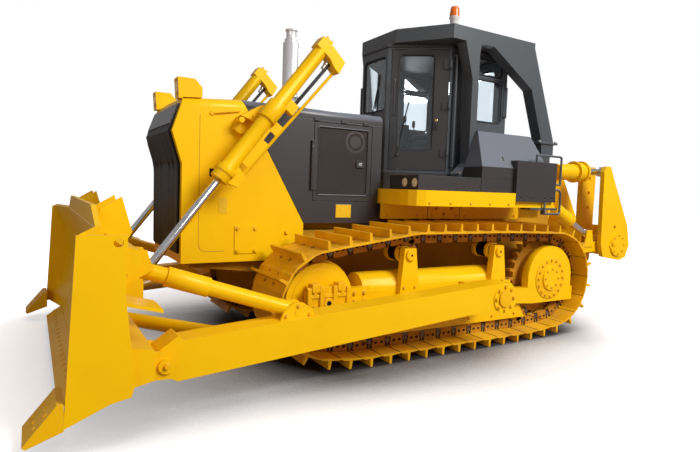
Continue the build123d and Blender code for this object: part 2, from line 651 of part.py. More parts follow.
CAP_BLOCK = [(-913, -80), (-913, 75), (-890, 250), (-758, 268), (-762, 200), (-800, 100), (-800, -80)]
CAP_BOSS = [(-948, -45), (-948, 40), (-905, 40), (-905, -45)]
PIPE = [(-765, 236), (640, 150)]
WEB = [(40, 60), (40, 196), (560, 164), (560, 60)]
WEB_SLOT = [(150, 100), (150, 165), (262, 160), (262, 98)]
GLAND_EAR = [(610, 40), (650, 172), (770, 172), (815, 40)]
MANIFOLD = [(-215, 60), (-215, 165), (-105, 165), (-105, 60)]
HOSE = [(-782, 150), (-214, 128)]

barrel = tube(LIFT_YOKE, LIFT_EYE, LIFT_Y, LIFT_CAP, LIFT_GLAND, LIFT_BARREL_R)
barrel += tube(LIFT_YOKE, LIFT_EYE, LIFT_Y, -95, 95, 92)
barrel += tube(LIFT_YOKE, LIFT_EYE, LIFT_Y, 690, 745, 96) + tube(LIFT_YOKE, LIFT_EYE, LIFT_Y, 745, LIFT_GLAND, 86)
barrel += cross(*LIFT_YOKE, HOOD_HALF + 30, LIFT_Y, 45)
barrel += beside_plate(CAP_BLOCK, 70) + beside_plate(CAP_BOSS, 48) + beside_plate(MANIFOLD, 40)
barrel += beside_plate(WEB, 8) + beside_plate(GLAND_EAR, 35) + beside_bar(*PIPE, 16)
barrel -= beside_plate(WEB_SLOT, 20)
barrel -= tube(LIFT_YOKE, LIFT_EYE, LIFT_Y, LIFT_CAP + 25, LIFT_GLAND + 1, LIFT_ROD_R + FIT)
nodes["lift_barrels"] = both(barrel)
nodes["lift_hoses"] = both(beside_bar(*HOSE, 17)) - nodes["lift_barrels"]

# the rod starts inside the barrel, clear of its cap when fully drawn in
lift_rod = tube(LIFT_YOKE, LIFT_EYE, LIFT_Y, LIFT_CAP + 1010, LIFT_LENGTH - 40, LIFT_ROD_R)
lift_rod += cross(*LIFT_EYE, LIFT_Y - 38, LIFT_Y + 38, 62)
nodes["lift_rods"] = both(lift_rod)


def lift_yoke():
    x, z = LIFT_YOKE
    foot = [(x - 60, z - 70), (x - 75, z + 20), (x - 30, z + 85), (x + 60, z + 70), (x + 262, z - 45),
            (x + 300, z - 165), (x + 235, z - 215), (x + 30, z - 120)]
    yoke = side_plate(foot, HOOD_HALF, HOOD_HALF + 60)
    yoke += side_plate([(a, b) for a, b in foot if a < x + 270 and b > z - 130], HOOD_HALF, LIFT_Y - 108)
    yoke += cross(x + 5, z - 5, HOOD_HALF, LIFT_Y - 100, 88)
    for a, b in ((x + 44, z + 21), (x + 123, z - 40), (x + 256, z - 85)):
        yoke += cross(a, b, HOOD_HALF + 50, LIFT_Y - 98, 26)
    return yoke - cross(*LIFT_YOKE, HOOD_HALF + 25, LIFT_Y, 45 + FIT)


nodes["lift_yokes"] = both(lift_yoke()) - nodes["radiator_guard"] - nodes["hood"]


# ---- ripper -------------------------------------------------------------------------
def shifted(a, b):
    return (a[0] + b[0], a[1] + b[1])


RIPPER_TOOL_LOW = shifted(RIPPER_LOW, RIPPER_REACH)
RIPPER_HIGH = shifted(RIPPER_LOW, RIPPER_RISE)
RIPPER_TOOL_HIGH = shifted(RIPPER_TOOL_LOW, RIPPER_RISE)

BRACKET = [(-900, 700), (-1250, 780), (-1290, 880), (-1250, 970), (-960, 1240), (-955, 1300),
           (-1030, 1540), (-1080, 1640), (-970, 1780), (-980, 1960), (-1100, 2050), (-1060, 2140),
           (-900, 2140), (-740, 1720), (-900, 1720)]
INNER_RIB = [(-900, 700), (-1150, 760), (-1250, 1000), (-1545, 1424), (-1263, 1877), (-1090, 2110),
             (-900, 2110), (-740, 1720), (-900, 1720)]
bracket = side_plate(BRACKET, RIPPER_Y - 80, RIPPER_Y - 48) + side_plate(BRACKET, RIPPER_Y + 48, RIPPER_Y + 80)
bracket += side_plate(INNER_RIB, 150, 182)
for x, z in (RIPPER_LOW, RIPPER_LIFT, RIPPER_HIGH):
    bracket += cross(x, z, 160, RIPPER_Y + 95, PIN_R)
nodes["ripper_bracket"] = both(bracket)


def ripper_link():
    link = side_plate([shifted(RIPPER_LOW, (60, -70)), shifted(RIPPER_TOOL_LOW, (-60, -80)),
                       shifted(RIPPER_TOOL_LOW, (-60, 80)), shifted(RIPPER_LOW, (60, 70))],
                      RIPPER_Y - 40, RIPPER_Y + 40)
    link += cross(*RIPPER_LOW, RIPPER_Y - 40, RIPPER_Y + 40, 92)
    link += cross(*RIPPER_TOOL_LOW, RIPPER_Y - 40, RIPPER_Y + 40, 118)
    x, z = RIPPER_LIFT_EYE
    for low in (RIPPER_Y - 58, RIPPER_Y + 38):
        link += side_plate([(x - 110, 930), (x - 60, z + 60), (x + 60, z + 60), (x + 110, 930)], low, low + 20)
    link += cross(-1700, 910, -10, RIPPER_Y, 70)
    link -= cross(*RIPPER_LOW, 300, 420, PIN_R + FIT)
    link -= cross(*RIPPER_TOOL_LOW, 300, 420, PIN_R + FIT)
    return link


nodes["ripper_link"] = both(ripper_link())
pin = cross(*RIPPER_TOOL_LOW, RIPPER_Y - 80, RIPPER_PLATE_Y[1] + 20, PIN_R)
nodes["ripper_pins"] = both(pin + cross(*RIPPER_TOOL_LOW, 142, RIPPER_Y - 62, 160))

PLATE = [(-2150, 2110), (-2200, 2190), (-2310, 2190), (-2352, 2110), (-2470, 1900), (-2850, 1270),
         (-2930, 940), (-2850, 750), (-2690, 700), (-2250, 770), (-2180, 970)]
TOW_BORE = (-2512, 1236)
TOW_BORE_R = 32
plate = side_plate(PLATE, *RIPPER_PLATE_Y) + cross(-2600, 962, RIPPER_PLATE_Y[1], RIPPER_PLATE_Y[1] + 28, 185)
plate -= cross(*TOW_BORE, 400, 540, TOW_BORE_R)
beam = both(plate - cross(*RIPPER_TOOL_LOW, 400, 540, PIN_R + FIT))
beam += side_plate([(-2840, 800), (-2840, 1200), (-2640, 1250), (-2640, 760)], -440, 440)
beam += block(-2650, -2230, -130, 130, 800, 1180)
SHANK = [(-2270, 2200), (-2600, 2200), (-2600, 900), (-2560, 640), (-2300, 560), (-2270, 600),
         (-2330, 780), (-2270, 1000)]
SHANK_BORES = [(-2440, 1531), (-2440, 1771), (-2440, 2011)]
SHANK_BORE_R = 32
shank = side_plate(SHANK, -45, 45)
for x, z in SHANK_BORES:
    shank -= cross(x, z, -50, 50, SHANK_BORE_R)
nodes["ripper_beam"] = beam - side_plate(SHANK, -45, 45)
nodes["ripper_shank"] = shank

# cylinders: name, tractor pin, rod eye, rod radius, rod start, eye width, rings (from, to, radius)
CYLINDERS = [("lift", RIPPER_LIFT, RIPPER_LIFT_EYE, 36, 205, 72, [(165, 560, 105), (560, 620, 112)]),
             ("pitch", RIPPER_HIGH, RIPPER_TOOL_HIGH, 50, 400, 80,
              [(165, 570, 120), (570, 600, 162), (600, 745, 138), (745, 778, 162)])]
for name, pin, eye, rod_r, rod_from, eye_w, rings in CYLINDERS:
    length = math.dist(pin, eye)
    end = rings[-1][1]
    barrel = cross(*pin, RIPPER_Y - 38, RIPPER_Y + 38, 90)
    for low, high, radius in rings:
        barrel += tube(pin, eye, RIPPER_Y, low, high, radius)
    barrel += tube(pin, eye, RIPPER_Y, 0, 200, 38)
    barrel -= cross(*pin, RIPPER_Y - 40, RIPPER_Y + 40, PIN_R + FIT)
    barrel -= tube(pin, eye, RIPPER_Y, 190, end + 1, rod_r + FIT)
    nodes[f"ripper_{name}_barrels"] = both(barrel)
    rod = tube(pin, eye, RIPPER_Y, rod_from, length - 30, rod_r)
    rod += cross(*eye, RIPPER_Y - eye_w / 2, RIPPER_Y + eye_w / 2, 75)
    nodes[f"ripper_{name}_rods"] = both(rod)


# ---- files --------------------------------------------------------------------------
os.makedirs("parts", exist_ok=True)
for name, shape in nodes.items():
    export_step(shape.moved(Location((-MID_X, 0, 0))), f"parts/{name}.step")
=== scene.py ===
import json
import math
import random

import bmesh
import bpy
from mathutils import Matrix, Vector


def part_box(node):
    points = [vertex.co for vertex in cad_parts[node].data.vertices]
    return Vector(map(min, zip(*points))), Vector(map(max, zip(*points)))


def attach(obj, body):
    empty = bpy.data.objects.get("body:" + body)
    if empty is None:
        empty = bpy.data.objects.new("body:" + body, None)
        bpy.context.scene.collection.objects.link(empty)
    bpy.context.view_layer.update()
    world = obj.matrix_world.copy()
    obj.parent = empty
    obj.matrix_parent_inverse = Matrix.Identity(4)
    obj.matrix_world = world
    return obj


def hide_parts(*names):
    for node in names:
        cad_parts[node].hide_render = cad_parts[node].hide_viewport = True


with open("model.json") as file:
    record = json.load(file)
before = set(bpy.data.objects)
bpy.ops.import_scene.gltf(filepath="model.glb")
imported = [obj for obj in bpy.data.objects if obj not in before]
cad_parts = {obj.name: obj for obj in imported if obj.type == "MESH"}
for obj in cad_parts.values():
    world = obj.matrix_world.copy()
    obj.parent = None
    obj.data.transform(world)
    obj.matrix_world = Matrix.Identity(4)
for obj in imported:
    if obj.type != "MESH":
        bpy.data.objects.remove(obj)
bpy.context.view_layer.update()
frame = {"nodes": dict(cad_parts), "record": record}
slotOf = {part["node"]: part["material_slot"] for part in frame["record"]["subparts"]}
random.seed(7)
print("stage: frame loaded")


number, tint = "NodeSocketFloat", "NodeSocketColor"


def makeGroup(name, inputs, outputs):  # an empty shader node group with its sockets
    group = bpy.data.node_groups.new(name, "ShaderNodeTree")
    for label, (kind, value) in inputs.items():
        group.interface.new_socket(label, in_out="INPUT", socket_type=kind).default_value = value
    for label, kind in outputs.items():
        group.interface.new_socket(label, in_out="OUTPUT", socket_type=kind)
    return group, group.nodes.new("NodeGroupInput").outputs, group.nodes.new("NodeGroupOutput")


def fill(tree, node, values):  # every value is a socket to link or a constant to set
    for key, value in values.items():
        if isinstance(value, bpy.types.NodeSocket):
            tree.links.new(value, node.inputs[key])
        else:
            node.inputs[key].default_value = value


def addNode(tree, kind, inputs=None, **settings):
    node = tree.nodes.new(kind)
    for key, value in settings.items():
        setattr(node, key, value)
    fill(tree, node, inputs or {})
    return node


def ramp(tree, factor, low, high):  # 0 at low, 1 at high
    return addNode(tree, "ShaderNodeMapRange", {"Value": factor, "From Min": low, "From Max": high}).outputs[0]


def mixColor(tree, factor, first, second):
    return addNode(tree, "ShaderNodeMix", {0: factor, 6: first, 7: second}, data_type="RGBA").outputs[2]


def math2(tree, operation, first, second=0):
    return addNode(tree, "ShaderNodeMath", {0: first, 1: second}, operation=operation).outputs[0]


def times(tree, first, second):
    return math2(tree, "MULTIPLY", first, second)


def objectPlace(tree):
    return addNode(tree, "ShaderNodeTexCoord").outputs["Object"]


def noiseAt(tree, scale, detail=3, roughness=0.5):
    inputs = {"Vector": objectPlace(tree), "Scale": scale, "Detail": detail, "Roughness": roughness}
    return addNode(tree, "ShaderNodeTexNoise", inputs).outputs[0]


# the sky colour is a painted reflection, mixed into faces that look up
skinLook = {"driftScale": 1.7, "fineScale": 90, "peelScale": 240, "dustScale": 6, "sky": (0.27, 0.31, 0.38, 1),
            "dust": (0.42, 0.36, 0.28, 1), "unevenGloss": 0.14, "dustGloss": 0.5}  # scales are per metre


def paintSkinGroup():  # slow colour drift, dust that settles on level faces and a fine orange peel
    inputs = {"Paint": (tint, (0.8, 0.8, 0.8, 1)), "Shade": (tint, (0.4, 0.4, 0.4, 1)), "Drift": (number, 0.3),
              "Dust": (number, 0.1), "Gloss": (number, 0.3), "Peel": (number, 0.3), "Sky": (number, 0.0)}
    outputs = {"Color": tint, "Roughness": number, "Height": number}
    group, entry, leave = makeGroup("paintSkin", inputs, outputs)
    slow = noiseAt(group, skinLook["driftScale"], 5, 0.6)
    fine = noiseAt(group, skinLook["fineScale"])
    peel = noiseAt(group, skinLook["peelScale"], 2)
    patch = times(group, ramp(group, slow, 0.45, 0.75), entry["Drift"])
    normal = addNode(group, "ShaderNodeNewGeometry").outputs["Normal"]
    upward = addNode(group, "ShaderNodeSeparateXYZ", {0: normal}).outputs[2]
    blotches = ramp(group, noiseAt(group, skinLook["dustScale"], 6, 0.7), 0.42, 0.72)
    settled = times(group, ramp(group, upward, 0.6, 1.0), blotches)
    settled = times(group, settled, entry["Dust"])
    color = mixColor(group, patch, entry["Paint"], entry["Shade"])
    # faces that look up turn towards a paler blue: a painted reflection of the sky
    skyReflectionMask = times(group, ramp(group, upward, 0.05, 0.8), entry["Sky"])
    color = mixColor(group, skyReflectionMask, color, skinLook["sky"])
    uneven = times(group, math2(group, "ADD", slow, fine), skinLook["unevenGloss"])
    rough = math2(group, "ADD", entry["Gloss"], uneven)
    dulled = times(group, settled, skinLook["dustGloss"])
    fill(group, leave, {"Color": mixColor(group, settled, color, skinLook["dust"]),
                        "Roughness": math2(group, "ADD", rough, dulled),
                        "Height": times(group, peel, entry["Peel"])})
    return group


def edgeWearGroup():  # 1 on sharp edges, broken up by noise
    group, entry, leave = makeGroup("edgeWear", {"Width": (number, 0.01), "Amount": (number, 0.5)},
                                    {"Mask": number})
    rounded = addNode(group, "ShaderNodeBevel", {"Radius": entry["Width"]}, samples=4).outputs[0]
    flat = addNode(group, "ShaderNodeNewGeometry").outputs["Normal"]
    turn = addNode(group, "ShaderNodeVectorMath", {0: rounded, 1: flat}, operation="DOT_PRODUCT")
    broken = ramp(group, noiseAt(group, 20, 6, 0.7), 0.5, 0.6)
    worn = times(group, ramp(group, turn.outputs["Value"], 0.985, 0.88), broken)
    fill(group, leave, {"Mask": times(group, worn, entry["Amount"])})
    return group


def perforatedGroup():  # round holes in staggered rows, in the plane of X or Y with Z
    group, entry, leave = makeGroup("perforated", {"Pitch": (number, 0.02), "Hole": (number, 0.36)},
                                    {"Mask": number, "Height": number})
    axes = addNode(group, "ShaderNodeSeparateXYZ", {0: objectPlace(group)}).outputs
    column = math2(group, "DIVIDE", math2(group, "ADD", axes[0], axes[1]), entry["Pitch"])
    row = math2(group, "DIVIDE", axes[2], times(group, entry["Pitch"], 0.866))
    shift = times(group, math2(group, "MODULO", math2(group, "FLOOR", row), 2), 0.5)
    column = math2(group, "ADD", column, shift)
    offsets = [math2(group, "SUBTRACT", math2(group, "FRACT", part), 0.5) for part in (column, row)]
    squares = [math2(group, "POWER", math2(group, "ABSOLUTE", part), 2) for part in offsets]
    hole = math2(group, "LESS_THAN", math2(group, "SQRT", math2(group, "ADD", *squares)), entry["Hole"])
    fill(group, leave, {"Mask": hole, "Height": math2(group, "SUBTRACT", 1, hole)})
    return group


def weaveGroup():  # crossed threads of a woven cover
    group, entry, leave = makeGroup("weave", {"Threads": (number, 500)}, {"Height": number, "Shade": number})
    settings = {"Vector": objectPlace(group), "Scale": entry["Threads"], "Distortion": 0.6}
    waves = [addNode(group, "ShaderNodeTexWave", settings, bands_direction=axis).outputs[1]
             for axis in ("X", "Y", "Z")]
    threads = math2(group, "MAXIMUM", math2(group, "MAXIMUM", waves[0], waves[1]), waves[2])
    fill(group, leave, {"Height": threads, "Shade": times(group, threads, noiseAt(group, 30, 4))})
    return group


paintSkin, edgeWear, perforated, weave = paintSkinGroup(), edgeWearGroup(), perforatedGroup(), weaveGroup()


def newMaterial(name):
    material = bpy.data.materials.new(name)
    material.use_nodes = True
    tree = material.node_tree
    return material, tree, tree.nodes["Principled BSDF"]


def bumped(tree, shader, height, strength, distance):
    bump = addNode(tree, "ShaderNodeBump", {"Strength": strength, "Distance": distance, "Height": height})
    tree.links.new(bump.outputs[0], shader.inputs["Normal"])


# two colours and the drift between them, dust on level faces, roughness, orange peel, clear coat, bare metal on
# edges and a painted reflection of the sky, paler blue on faces that look up, which only the dark paints have
paints = {
    "yellowPaint": dict(paint=(0.88, 0.525, 0.001), shade=(0.80, 0.43, 0.001), drift=0.4, dust=0.05,
                        gloss=0.26, peel=0.35, coat=0.08, wear=0.0, sky=0.0),
    "trackPaint": dict(paint=(0.78, 0.42, 0.004), shade=(0.48, 0.21, 0.012), drift=0.9, dust=0.15,
                       gloss=0.38, peel=1.0, coat=0.04, wear=0.35, sky=0.0),
    "linkPaint": dict(paint=(0.50, 0.22, 0.014), shade=(0.22, 0.09, 0.02), drift=1.0, dust=0.2,
                      gloss=0.42, peel=1.2, coat=0.0, wear=0.3, sky=0.0),
    # the yellow darkened for the hull: painted shade, and partly oil and dirt
    "hullPaint": dict(paint=(0.52, 0.25, 0.008), shade=(0.30, 0.13, 0.012), drift=0.9, dust=0.2,
                      gloss=0.38, peel=0.8, coat=0.0, wear=0.0, sky=0.0),
    "steelPaint": dict(paint=(0.84, 0.47, 0.002), shade=(0.66, 0.33, 0.004), drift=0.7, dust=0.08,
                       gloss=0.32, peel=0.6, coat=0.06, wear=0.5, sky=0.0),
    "darkPaint": dict(paint=(0.030, 0.027, 0.027), shade=(0.021, 0.019, 0.019), drift=0.6, dust=0.10,
                      gloss=0.27, peel=0.5, coat=0.15, wear=0.0, sky=0.6),
    "grayPaint": dict(paint=(0.056, 0.066, 0.074), shade=(0.042, 0.049, 0.056), drift=0.6, dust=0.08,
                      gloss=0.26, peel=0.5, coat=0.2, wear=0.0, sky=0.4),
    "castPaint": dict(paint=(0.84, 0.47, 0.004), shade=(0.62, 0.32, 0.008), drift=0.7, dust=0.10,
                      gloss=0.34, peel=1.6, coat=0.08, wear=0.1, sky=0.0),
}
bareMetal = {"width": 0.008, "color": (0.34, 0.30, 0.26, 1)}
warmSheen = {"level": 0.4, "tint": (1, 0.78, 0.35, 1)}  # highlights of the yellow paints


def paintMaterial(name):
    look = paints[name]
    material, tree, shader = newMaterial(name)
    inputs = {label.capitalize(): look[label] for label in ("drift", "dust", "gloss", "peel", "sky")}
    inputs.update(Paint=(*look["paint"], 1), Shade=(*look["shade"], 1))
    skin = addNode(tree, "ShaderNodeGroup", inputs, node_tree=paintSkin).outputs
    color = skin["Color"]
    if look["wear"]:
        edge = {"Width": bareMetal["width"], "Amount": look["wear"]}
        worn = addNode(tree, "ShaderNodeGroup", edge, node_tree=edgeWear).outputs["Mask"]
        color = mixColor(tree, worn, color, bareMetal["color"])
        fill(tree, shader, {"Metallic": times(tree, worn, 0.8)})
    if not look["sky"]:
        fill(tree, shader, {"Specular IOR Level": warmSheen["level"], "Specular Tint": warmSheen["tint"]})
    fill(tree, shader, {"Base Color": color, "Roughness": skin["Roughness"], "Coat Weight": look["coat"],
                        "Coat Roughness": 0.12})
    bumped(tree, shader, skin["Height"], 0.35, 0.0012)
    return material


materials = {name: paintMaterial(name) for name in paints}


def plainMaterial(name, color, roughness, metallic, grain, depth):
    material, tree, shader = newMaterial(name)
    noise = noiseAt(tree, grain, 4)
    shade = [value * 0.72 for value in color]
    mottled = mixColor(tree, ramp(tree, noise, 0.35, 0.7), (*color, 1), (*shade, 1))
    uneven = math2(tree, "ADD", times(tree, noise, 0.16), roughness - 0.08)
    fill(tree, shader, {"Base Color": mottled, "Roughness": uneven, "Metallic": metallic,
                        "Specular IOR Level": 0.1 if name in dullLooks else 0.5})
    bumped(tree, shader, noise, 0.4, depth)
    return material


plainLooks = {  # colour, roughness, metallic, grain per metre, grain depth in metres
    "blackPlastic": ((0.022, 0.022, 0.024), 0.5, 0.0, 400, 0.0004),
    "rubber": ((0.016, 0.016, 0.017), 0.62, 0.0, 250, 0.0006),
    "silverPipe": ((0.88, 0.88, 0.90), 0.32, 0.6, 140, 0.0006),
    "chrome": ((0.78, 0.79, 0.81), 0.14, 1.0, 30, 0.0001),
    "zincBolt": ((0.42, 0.40, 0.36), 0.38, 0.85, 300, 0.0003),
    "linkPin": ((0.20, 0.15, 0.11), 0.42, 0.7, 200, 0.0004),
    "creamLens": ((0.78, 0.70, 0.48), 0.22, 0.0, 120, 0.0004),
    "amberLens": ((0.85, 0.17, 0.01), 0.2, 0.0, 80, 0.0006),
    "whitePlastic": ((0.72, 0.72, 0.70), 0.4, 0.0, 200, 0.0003),
    "blankPlate": ((0.86, 0.52, 0.01), 0.32, 0.0, 160, 0.0002),
    "seamLine": ((0.30, 0.14, 0.008), 0.6, 0.0, 60, 0.0004),
    # near-black: painted shade for holes, grooves and recesses
    "darkHollow": ((0.012, 0.011, 0.011), 0.8, 0.0, 40, 0.0006),
    "cleanerBody": ((0.26, 0.25, 0.25), 0.4, 0.0, 60, 0.0006),
    # near-black brown: painted shade for the gaps between links and shoes and for the holes in the link plates
    "grimyGap": ((0.060, 0.030, 0.013), 0.85, 0.0, 40, 0.0006),
    "brass": ((0.74, 0.55, 0.25), 0.24, 0.9, 100, 0.0002),
}
dullLooks = ("darkHollow", "grimyGap")
for name, look in plainLooks.items():
    materials[name] = plainMaterial(name, *look)


def seatMaterial():
    material, tree, shader = newMaterial("seatCover")
    cloth = addNode(tree, "ShaderNodeGroup", {"Threads": 90}, node_tree=weave).outputs
    shade = mixColor(tree, cloth["Shade"], (0.016, 0.017, 0.020, 1), (0.055, 0.057, 0.064, 1))
    fill(tree, shader, {"Base Color": shade, "Roughness": 0.86, "Sheen Weight": 0.3})
    bumped(tree, shader, cloth["Height"], 0.5, 0.0012)
    return material


def meshMaterial(name, color, pitch, hole, seeThrough):  # hole is a share of the pitch
    material, tree, shader = newMaterial(name)
    holes = addNode(tree, "ShaderNodeGroup", {"Pitch": pitch, "Hole": hole}, node_tree=perforated).outputs
    shade = [value * 0.6 for value in color]
    drift = mixColor(tree, noiseAt(tree, 4, 4), (*color, 1), (*shade, 1))
    # holes are painted near-black: painted shade behind them; a see-through mesh also cuts them out
    pierced = mixColor(tree, holes["Mask"], drift, (0.004, 0.0035, 0.0035, 1))
    fill(tree, shader, {"Base Color": pierced, "Roughness": 0.5, "Specular IOR Level": 0.25})
    if seeThrough:
        fill(tree, shader, {"Alpha": holes["Height"]})
    bumped(tree, shader, holes["Height"], 0.6, 0.002)
    return material


def glassMaterial():
    material, tree, shader = newMaterial("glass")
    fill(tree, shader, {"Base Color": (0.88, 0.94, 0.98, 1), "Roughness": times(tree, noiseAt(tree, 3), 0.06),
                        "Transmission Weight": 1, "IOR": 1.45})
    return material


def lensMaterial():  # ribbed clear glass of the lamps
    material, tree, shader = newMaterial("lampLens")
    settings = {"Vector": objectPlace(tree), "Scale": 55}
    ribs = addNode(tree, "ShaderNodeTexWave", settings, bands_direction="Y").outputs[1]
    fill(tree, shader, {"Base Color": (0.92, 0.94, 0.95, 1), "Roughness": 0.08, "Transmission Weight": 0.75})
    bumped(tree, shader, ribs, 0.5, 0.002)
    return material


materials["seatCover"] = seatMaterial()
materials["blackMesh"] = meshMaterial("blackMesh", (0.013, 0.008, 0.007), 0.022, 0.36, False)
materials["doorMesh"] = meshMaterial("doorMesh", (0.070, 0.058, 0.052), 0.012, 0.36, True)
materials["glass"] = glassMaterial()
materials["lampLens"] = lensMaterial()
slotMaterial = {"yellow_paint": "yellowPaint", "dark_paint": "darkPaint", "black_mesh": "blackMesh",
                "glass": "glass", "seat_cover": "seatCover", "black_plastic": "blackPlastic",
                "cast_iron": "castPaint",
                "silver_pipe": "silverPipe", "amber_lens": "amberLens", "worn_steel": "steelPaint",
                "chrome": "chrome", "track_paint": "trackPaint", "rubber": "rubber"}
nodeLooks = dict.fromkeys(("cab_walls", "rops", "grab_rails"), "grayPaint")  # where it isn't the slot's own
nodeLooks.update(dict.fromkeys(("sprockets", "track_rollers"), "linkPaint"))
# the hull, belly guard and final drives get the darkened yellow: painted shade, and partly oil and dirt
nodeLooks.update(dict.fromkeys(("main_frame", "belly_guard", "final_drives"), "hullPaint"))
print("stage: materials")


def softEdges(obj, width, segments=2, angle=30):
    edges = obj.modifiers.new("edges", "BEVEL")
    edges.width = width
    edges.segments = segments
    edges.limit_method = "ANGLE"
    edges.angle_limit = math.radians(angle)
    edges.harden_normals = True


solidLook = {"weld": 0.00005, "flatAngle": 0.5, "edge": 0.006, "edgeAngle": 32}  # metres and degrees


def dressNode(name, obj):  # welds the facets and rounds the edges of a solid, then gives it its finish
    obj.data.materials.clear()
    obj.data.materials.append(materials[nodeLooks.get(name, slotMaterial[slotOf[name]])])
    weld = obj.modifiers.new("weld", "WELD")
    weld.merge_threshold = solidLook["weld"]
    flat = obj.modifiers.new("flat", "DECIMATE")
    flat.decimate_type = "DISSOLVE"
    flat.angle_limit = math.radians(solidLook["flatAngle"])
    softEdges(obj, solidLook["edge"], 2, solidLook["edgeAngle"])


for name, obj in frame["nodes"].items():
    dressNode(name, obj)
print("stage: solids dressed")

axleX = sum(corner[0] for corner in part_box("sprockets")) / 2


def spot(x, y, z):  # a point given in millimetres ahead of the sprockets' axle, left of the centre line and up
    return Vector((axleX + x / 1000, y / 1000, z / 1000))


def span(node):
    low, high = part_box(node)
    return Vector(low), Vector(high)


def loosePieces(node):  # low and high corner of every separate solid of a node
    obj = frame["nodes"][node]
    mesh = bmesh.new()
    mesh.from_mesh(obj.data)
    bmesh.ops.transform(mesh, matrix=obj.matrix_world, verts=mesh.verts)
    bmesh.ops.remove_doubles(mesh, verts=mesh.verts, dist=0.0001)
    seen, boxes = set(), []
    for start in mesh.verts:
        if start in seen:
            continue
        seen.add(start)
        queue, found = [start], []
        while queue:
            vert = queue.pop()
            found.append(vert.co.copy())
            for edge in vert.link_edges:
                other = edge.other_vert(vert)
                if other not in seen:
                    seen.add(other)
                    queue.append(other)
        boxes.append((Vector([min(p[i] for p in found) for i in range(3)]),
                      Vector([max(p[i] for p in found) for i in range(3)])))
    mesh.free()
    return boxes


def newObject(name, data):
    obj = bpy.data.objects.new(name, data)
    bpy.context.scene.collection.objects.link(obj)
    return obj


def addPiece(name, data, body, material, smooth=True):
    obj = newObject(name, data)
    data.materials.append(materials[material])
    if smooth and isinstance(data, bpy.types.Mesh):
        data.shade_smooth()
    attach(obj, body)
    return obj


def meshFrom(name, mesh):
    data = bpy.data.meshes.new(name)
    bmesh.ops.recalc_face_normals(mesh, faces=mesh.faces)
    mesh.to_mesh(data)
    mesh.free()
    return data


def facing(place, direction):  # a matrix that puts local Z along a direction
    turn = Vector((0, 0, 1)).rotation_difference(Vector(direction)).to_matrix().to_4x4()
    return Matrix.Translation(place) @ turn


def circle(radius, count, height=0.0):
    turns = [math.tau * n / count for n in range(count)]
    return [Vector((radius * math.cos(turn), radius * math.sin(turn), height)) for turn in turns]


def lathe(name, profile, place, direction, body, material, steps=40):  # profile: radius and height pairs
    mesh = bmesh.new()
    rings = [[mesh.verts.new(point) for point in circle(radius, steps, height)] for radius, height in profile]
    for lower, upper in zip(rings, rings[1:]):
        for n in range(steps):
            m = (n + 1) % steps
            mesh.faces.new((lower[n], lower[m], upper[m], upper[n]))
    mesh.faces.new(rings[0][::-1])
    mesh.faces.new(rings[-1])
    bmesh.ops.transform(mesh, matrix=facing(place, direction), verts=mesh.verts)
    obj = addPiece(name, meshFrom(name, mesh), body, material)
    softEdges(obj, 0.002)
    return obj


def sideDisc(name, profile, place, sign, material):  # a turned part that faces sideways
    return lathe(name, profile, place, (0, sign, 0), "tractor", material)


# a washer and a hexagon head at every spot, each turned by chance; tall is the head's height over its radius
def boltSet(name, spots, direction, radius, body, material, tall=1.1):
    mesh = bmesh.new()
    height = radius * tall
    for place in spots:
        seat = facing(place, direction)
        turned = seat @ Matrix.Rotation(random.random(), 4, "Z")
        bmesh.ops.create_cone(mesh, cap_ends=True, segments=20, radius1=radius * 1.3, radius2=radius * 1.25,
                              depth=height * 0.3, matrix=seat @ Matrix.Translation((0, 0, height * 0.1)))
        bmesh.ops.create_cone(mesh, cap_ends=True, segments=6, radius1=radius, radius2=radius, depth=height,
                              matrix=turned @ Matrix.Translation((0, 0, height * 0.5)))
    heads = addPiece(name, meshFrom(name, mesh), body, material, smooth=False)
    softEdges(heads, radius * 0.12)


def ringOf(center, direction, radius, count):
    seat = facing(center, direction)
    return [seat @ point for point in circle(radius, count)]


def softCorners(points, radius, closed, steps=5):
    corners = [Vector(point) for point in points]
    found = []
    for n, corner in enumerate(corners):
        if not closed and n in (0, len(corners) - 1):
            found.append(corner)
            continue
        before, after = corners[n - 1], corners[(n + 1) % len(corners)]
        first = corner + (before - corner).normalized() * min(radius, (before - corner).length * 0.45)
        last = corner + (after - corner).normalized() * min(radius, (after - corner).length * 0.45)
        for step in range(steps + 1):
            t = step / steps
            found.append(first * (1 - t) ** 2 + corner * 2 * t * (1 - t) + last * t ** 2)
    return found


def tube(name, lines, radius, body, material, corner=0.03, closed=False):  # round bars along lines
    curve = bpy.data.curves.new(name, "CURVE")
    curve.dimensions = "3D"
    curve.bevel_depth = radius
    curve.bevel_resolution = 4
    curve.use_fill_caps = True
    for line in lines:
        points = softCorners(line, corner, closed)
        spline = curve.splines.new("POLY")
        spline.points.add(len(points) - 1)
        spline.use_cyclic_u = closed
        for point, place in zip(spline.points, points):
            point.co = (*place, 1)
    return addPiece(name, curve, body, material)


def sheet(name, corners, body, material):  # a single flat face
    mesh = bmesh.new()
    mesh.faces.new([mesh.verts.new(corner) for corner in corners])
    return addPiece(name, meshFrom(name, mesh), body, material, smooth=False)


def addBox(mesh, low, high):
    made = bmesh.ops.create_cube(mesh, size=1)["verts"]
    bmesh.ops.scale(mesh, vec=high - low, verts=made)
    bmesh.ops.translate(mesh, vec=(low + high) / 2, verts=made)
    return made


def slab(name, boxes, body, material, edge=0.004, turn=None):  # plain boxes with soft edges
    mesh = bmesh.new()
    for low, high in boxes:
        made = addBox(mesh, Vector(low), Vector(high))
        if turn:
            bmesh.ops.transform(mesh, matrix=turn, verts=made)
    obj = addPiece(name, meshFrom(name, mesh), body, material)
    softEdges(obj, edge, 3)
    return obj


sides = {"left": 1, "right": -1}


def onSide(points, sign):
    return [Vector((point[0], sign * point[1], point[2])) for point in points]


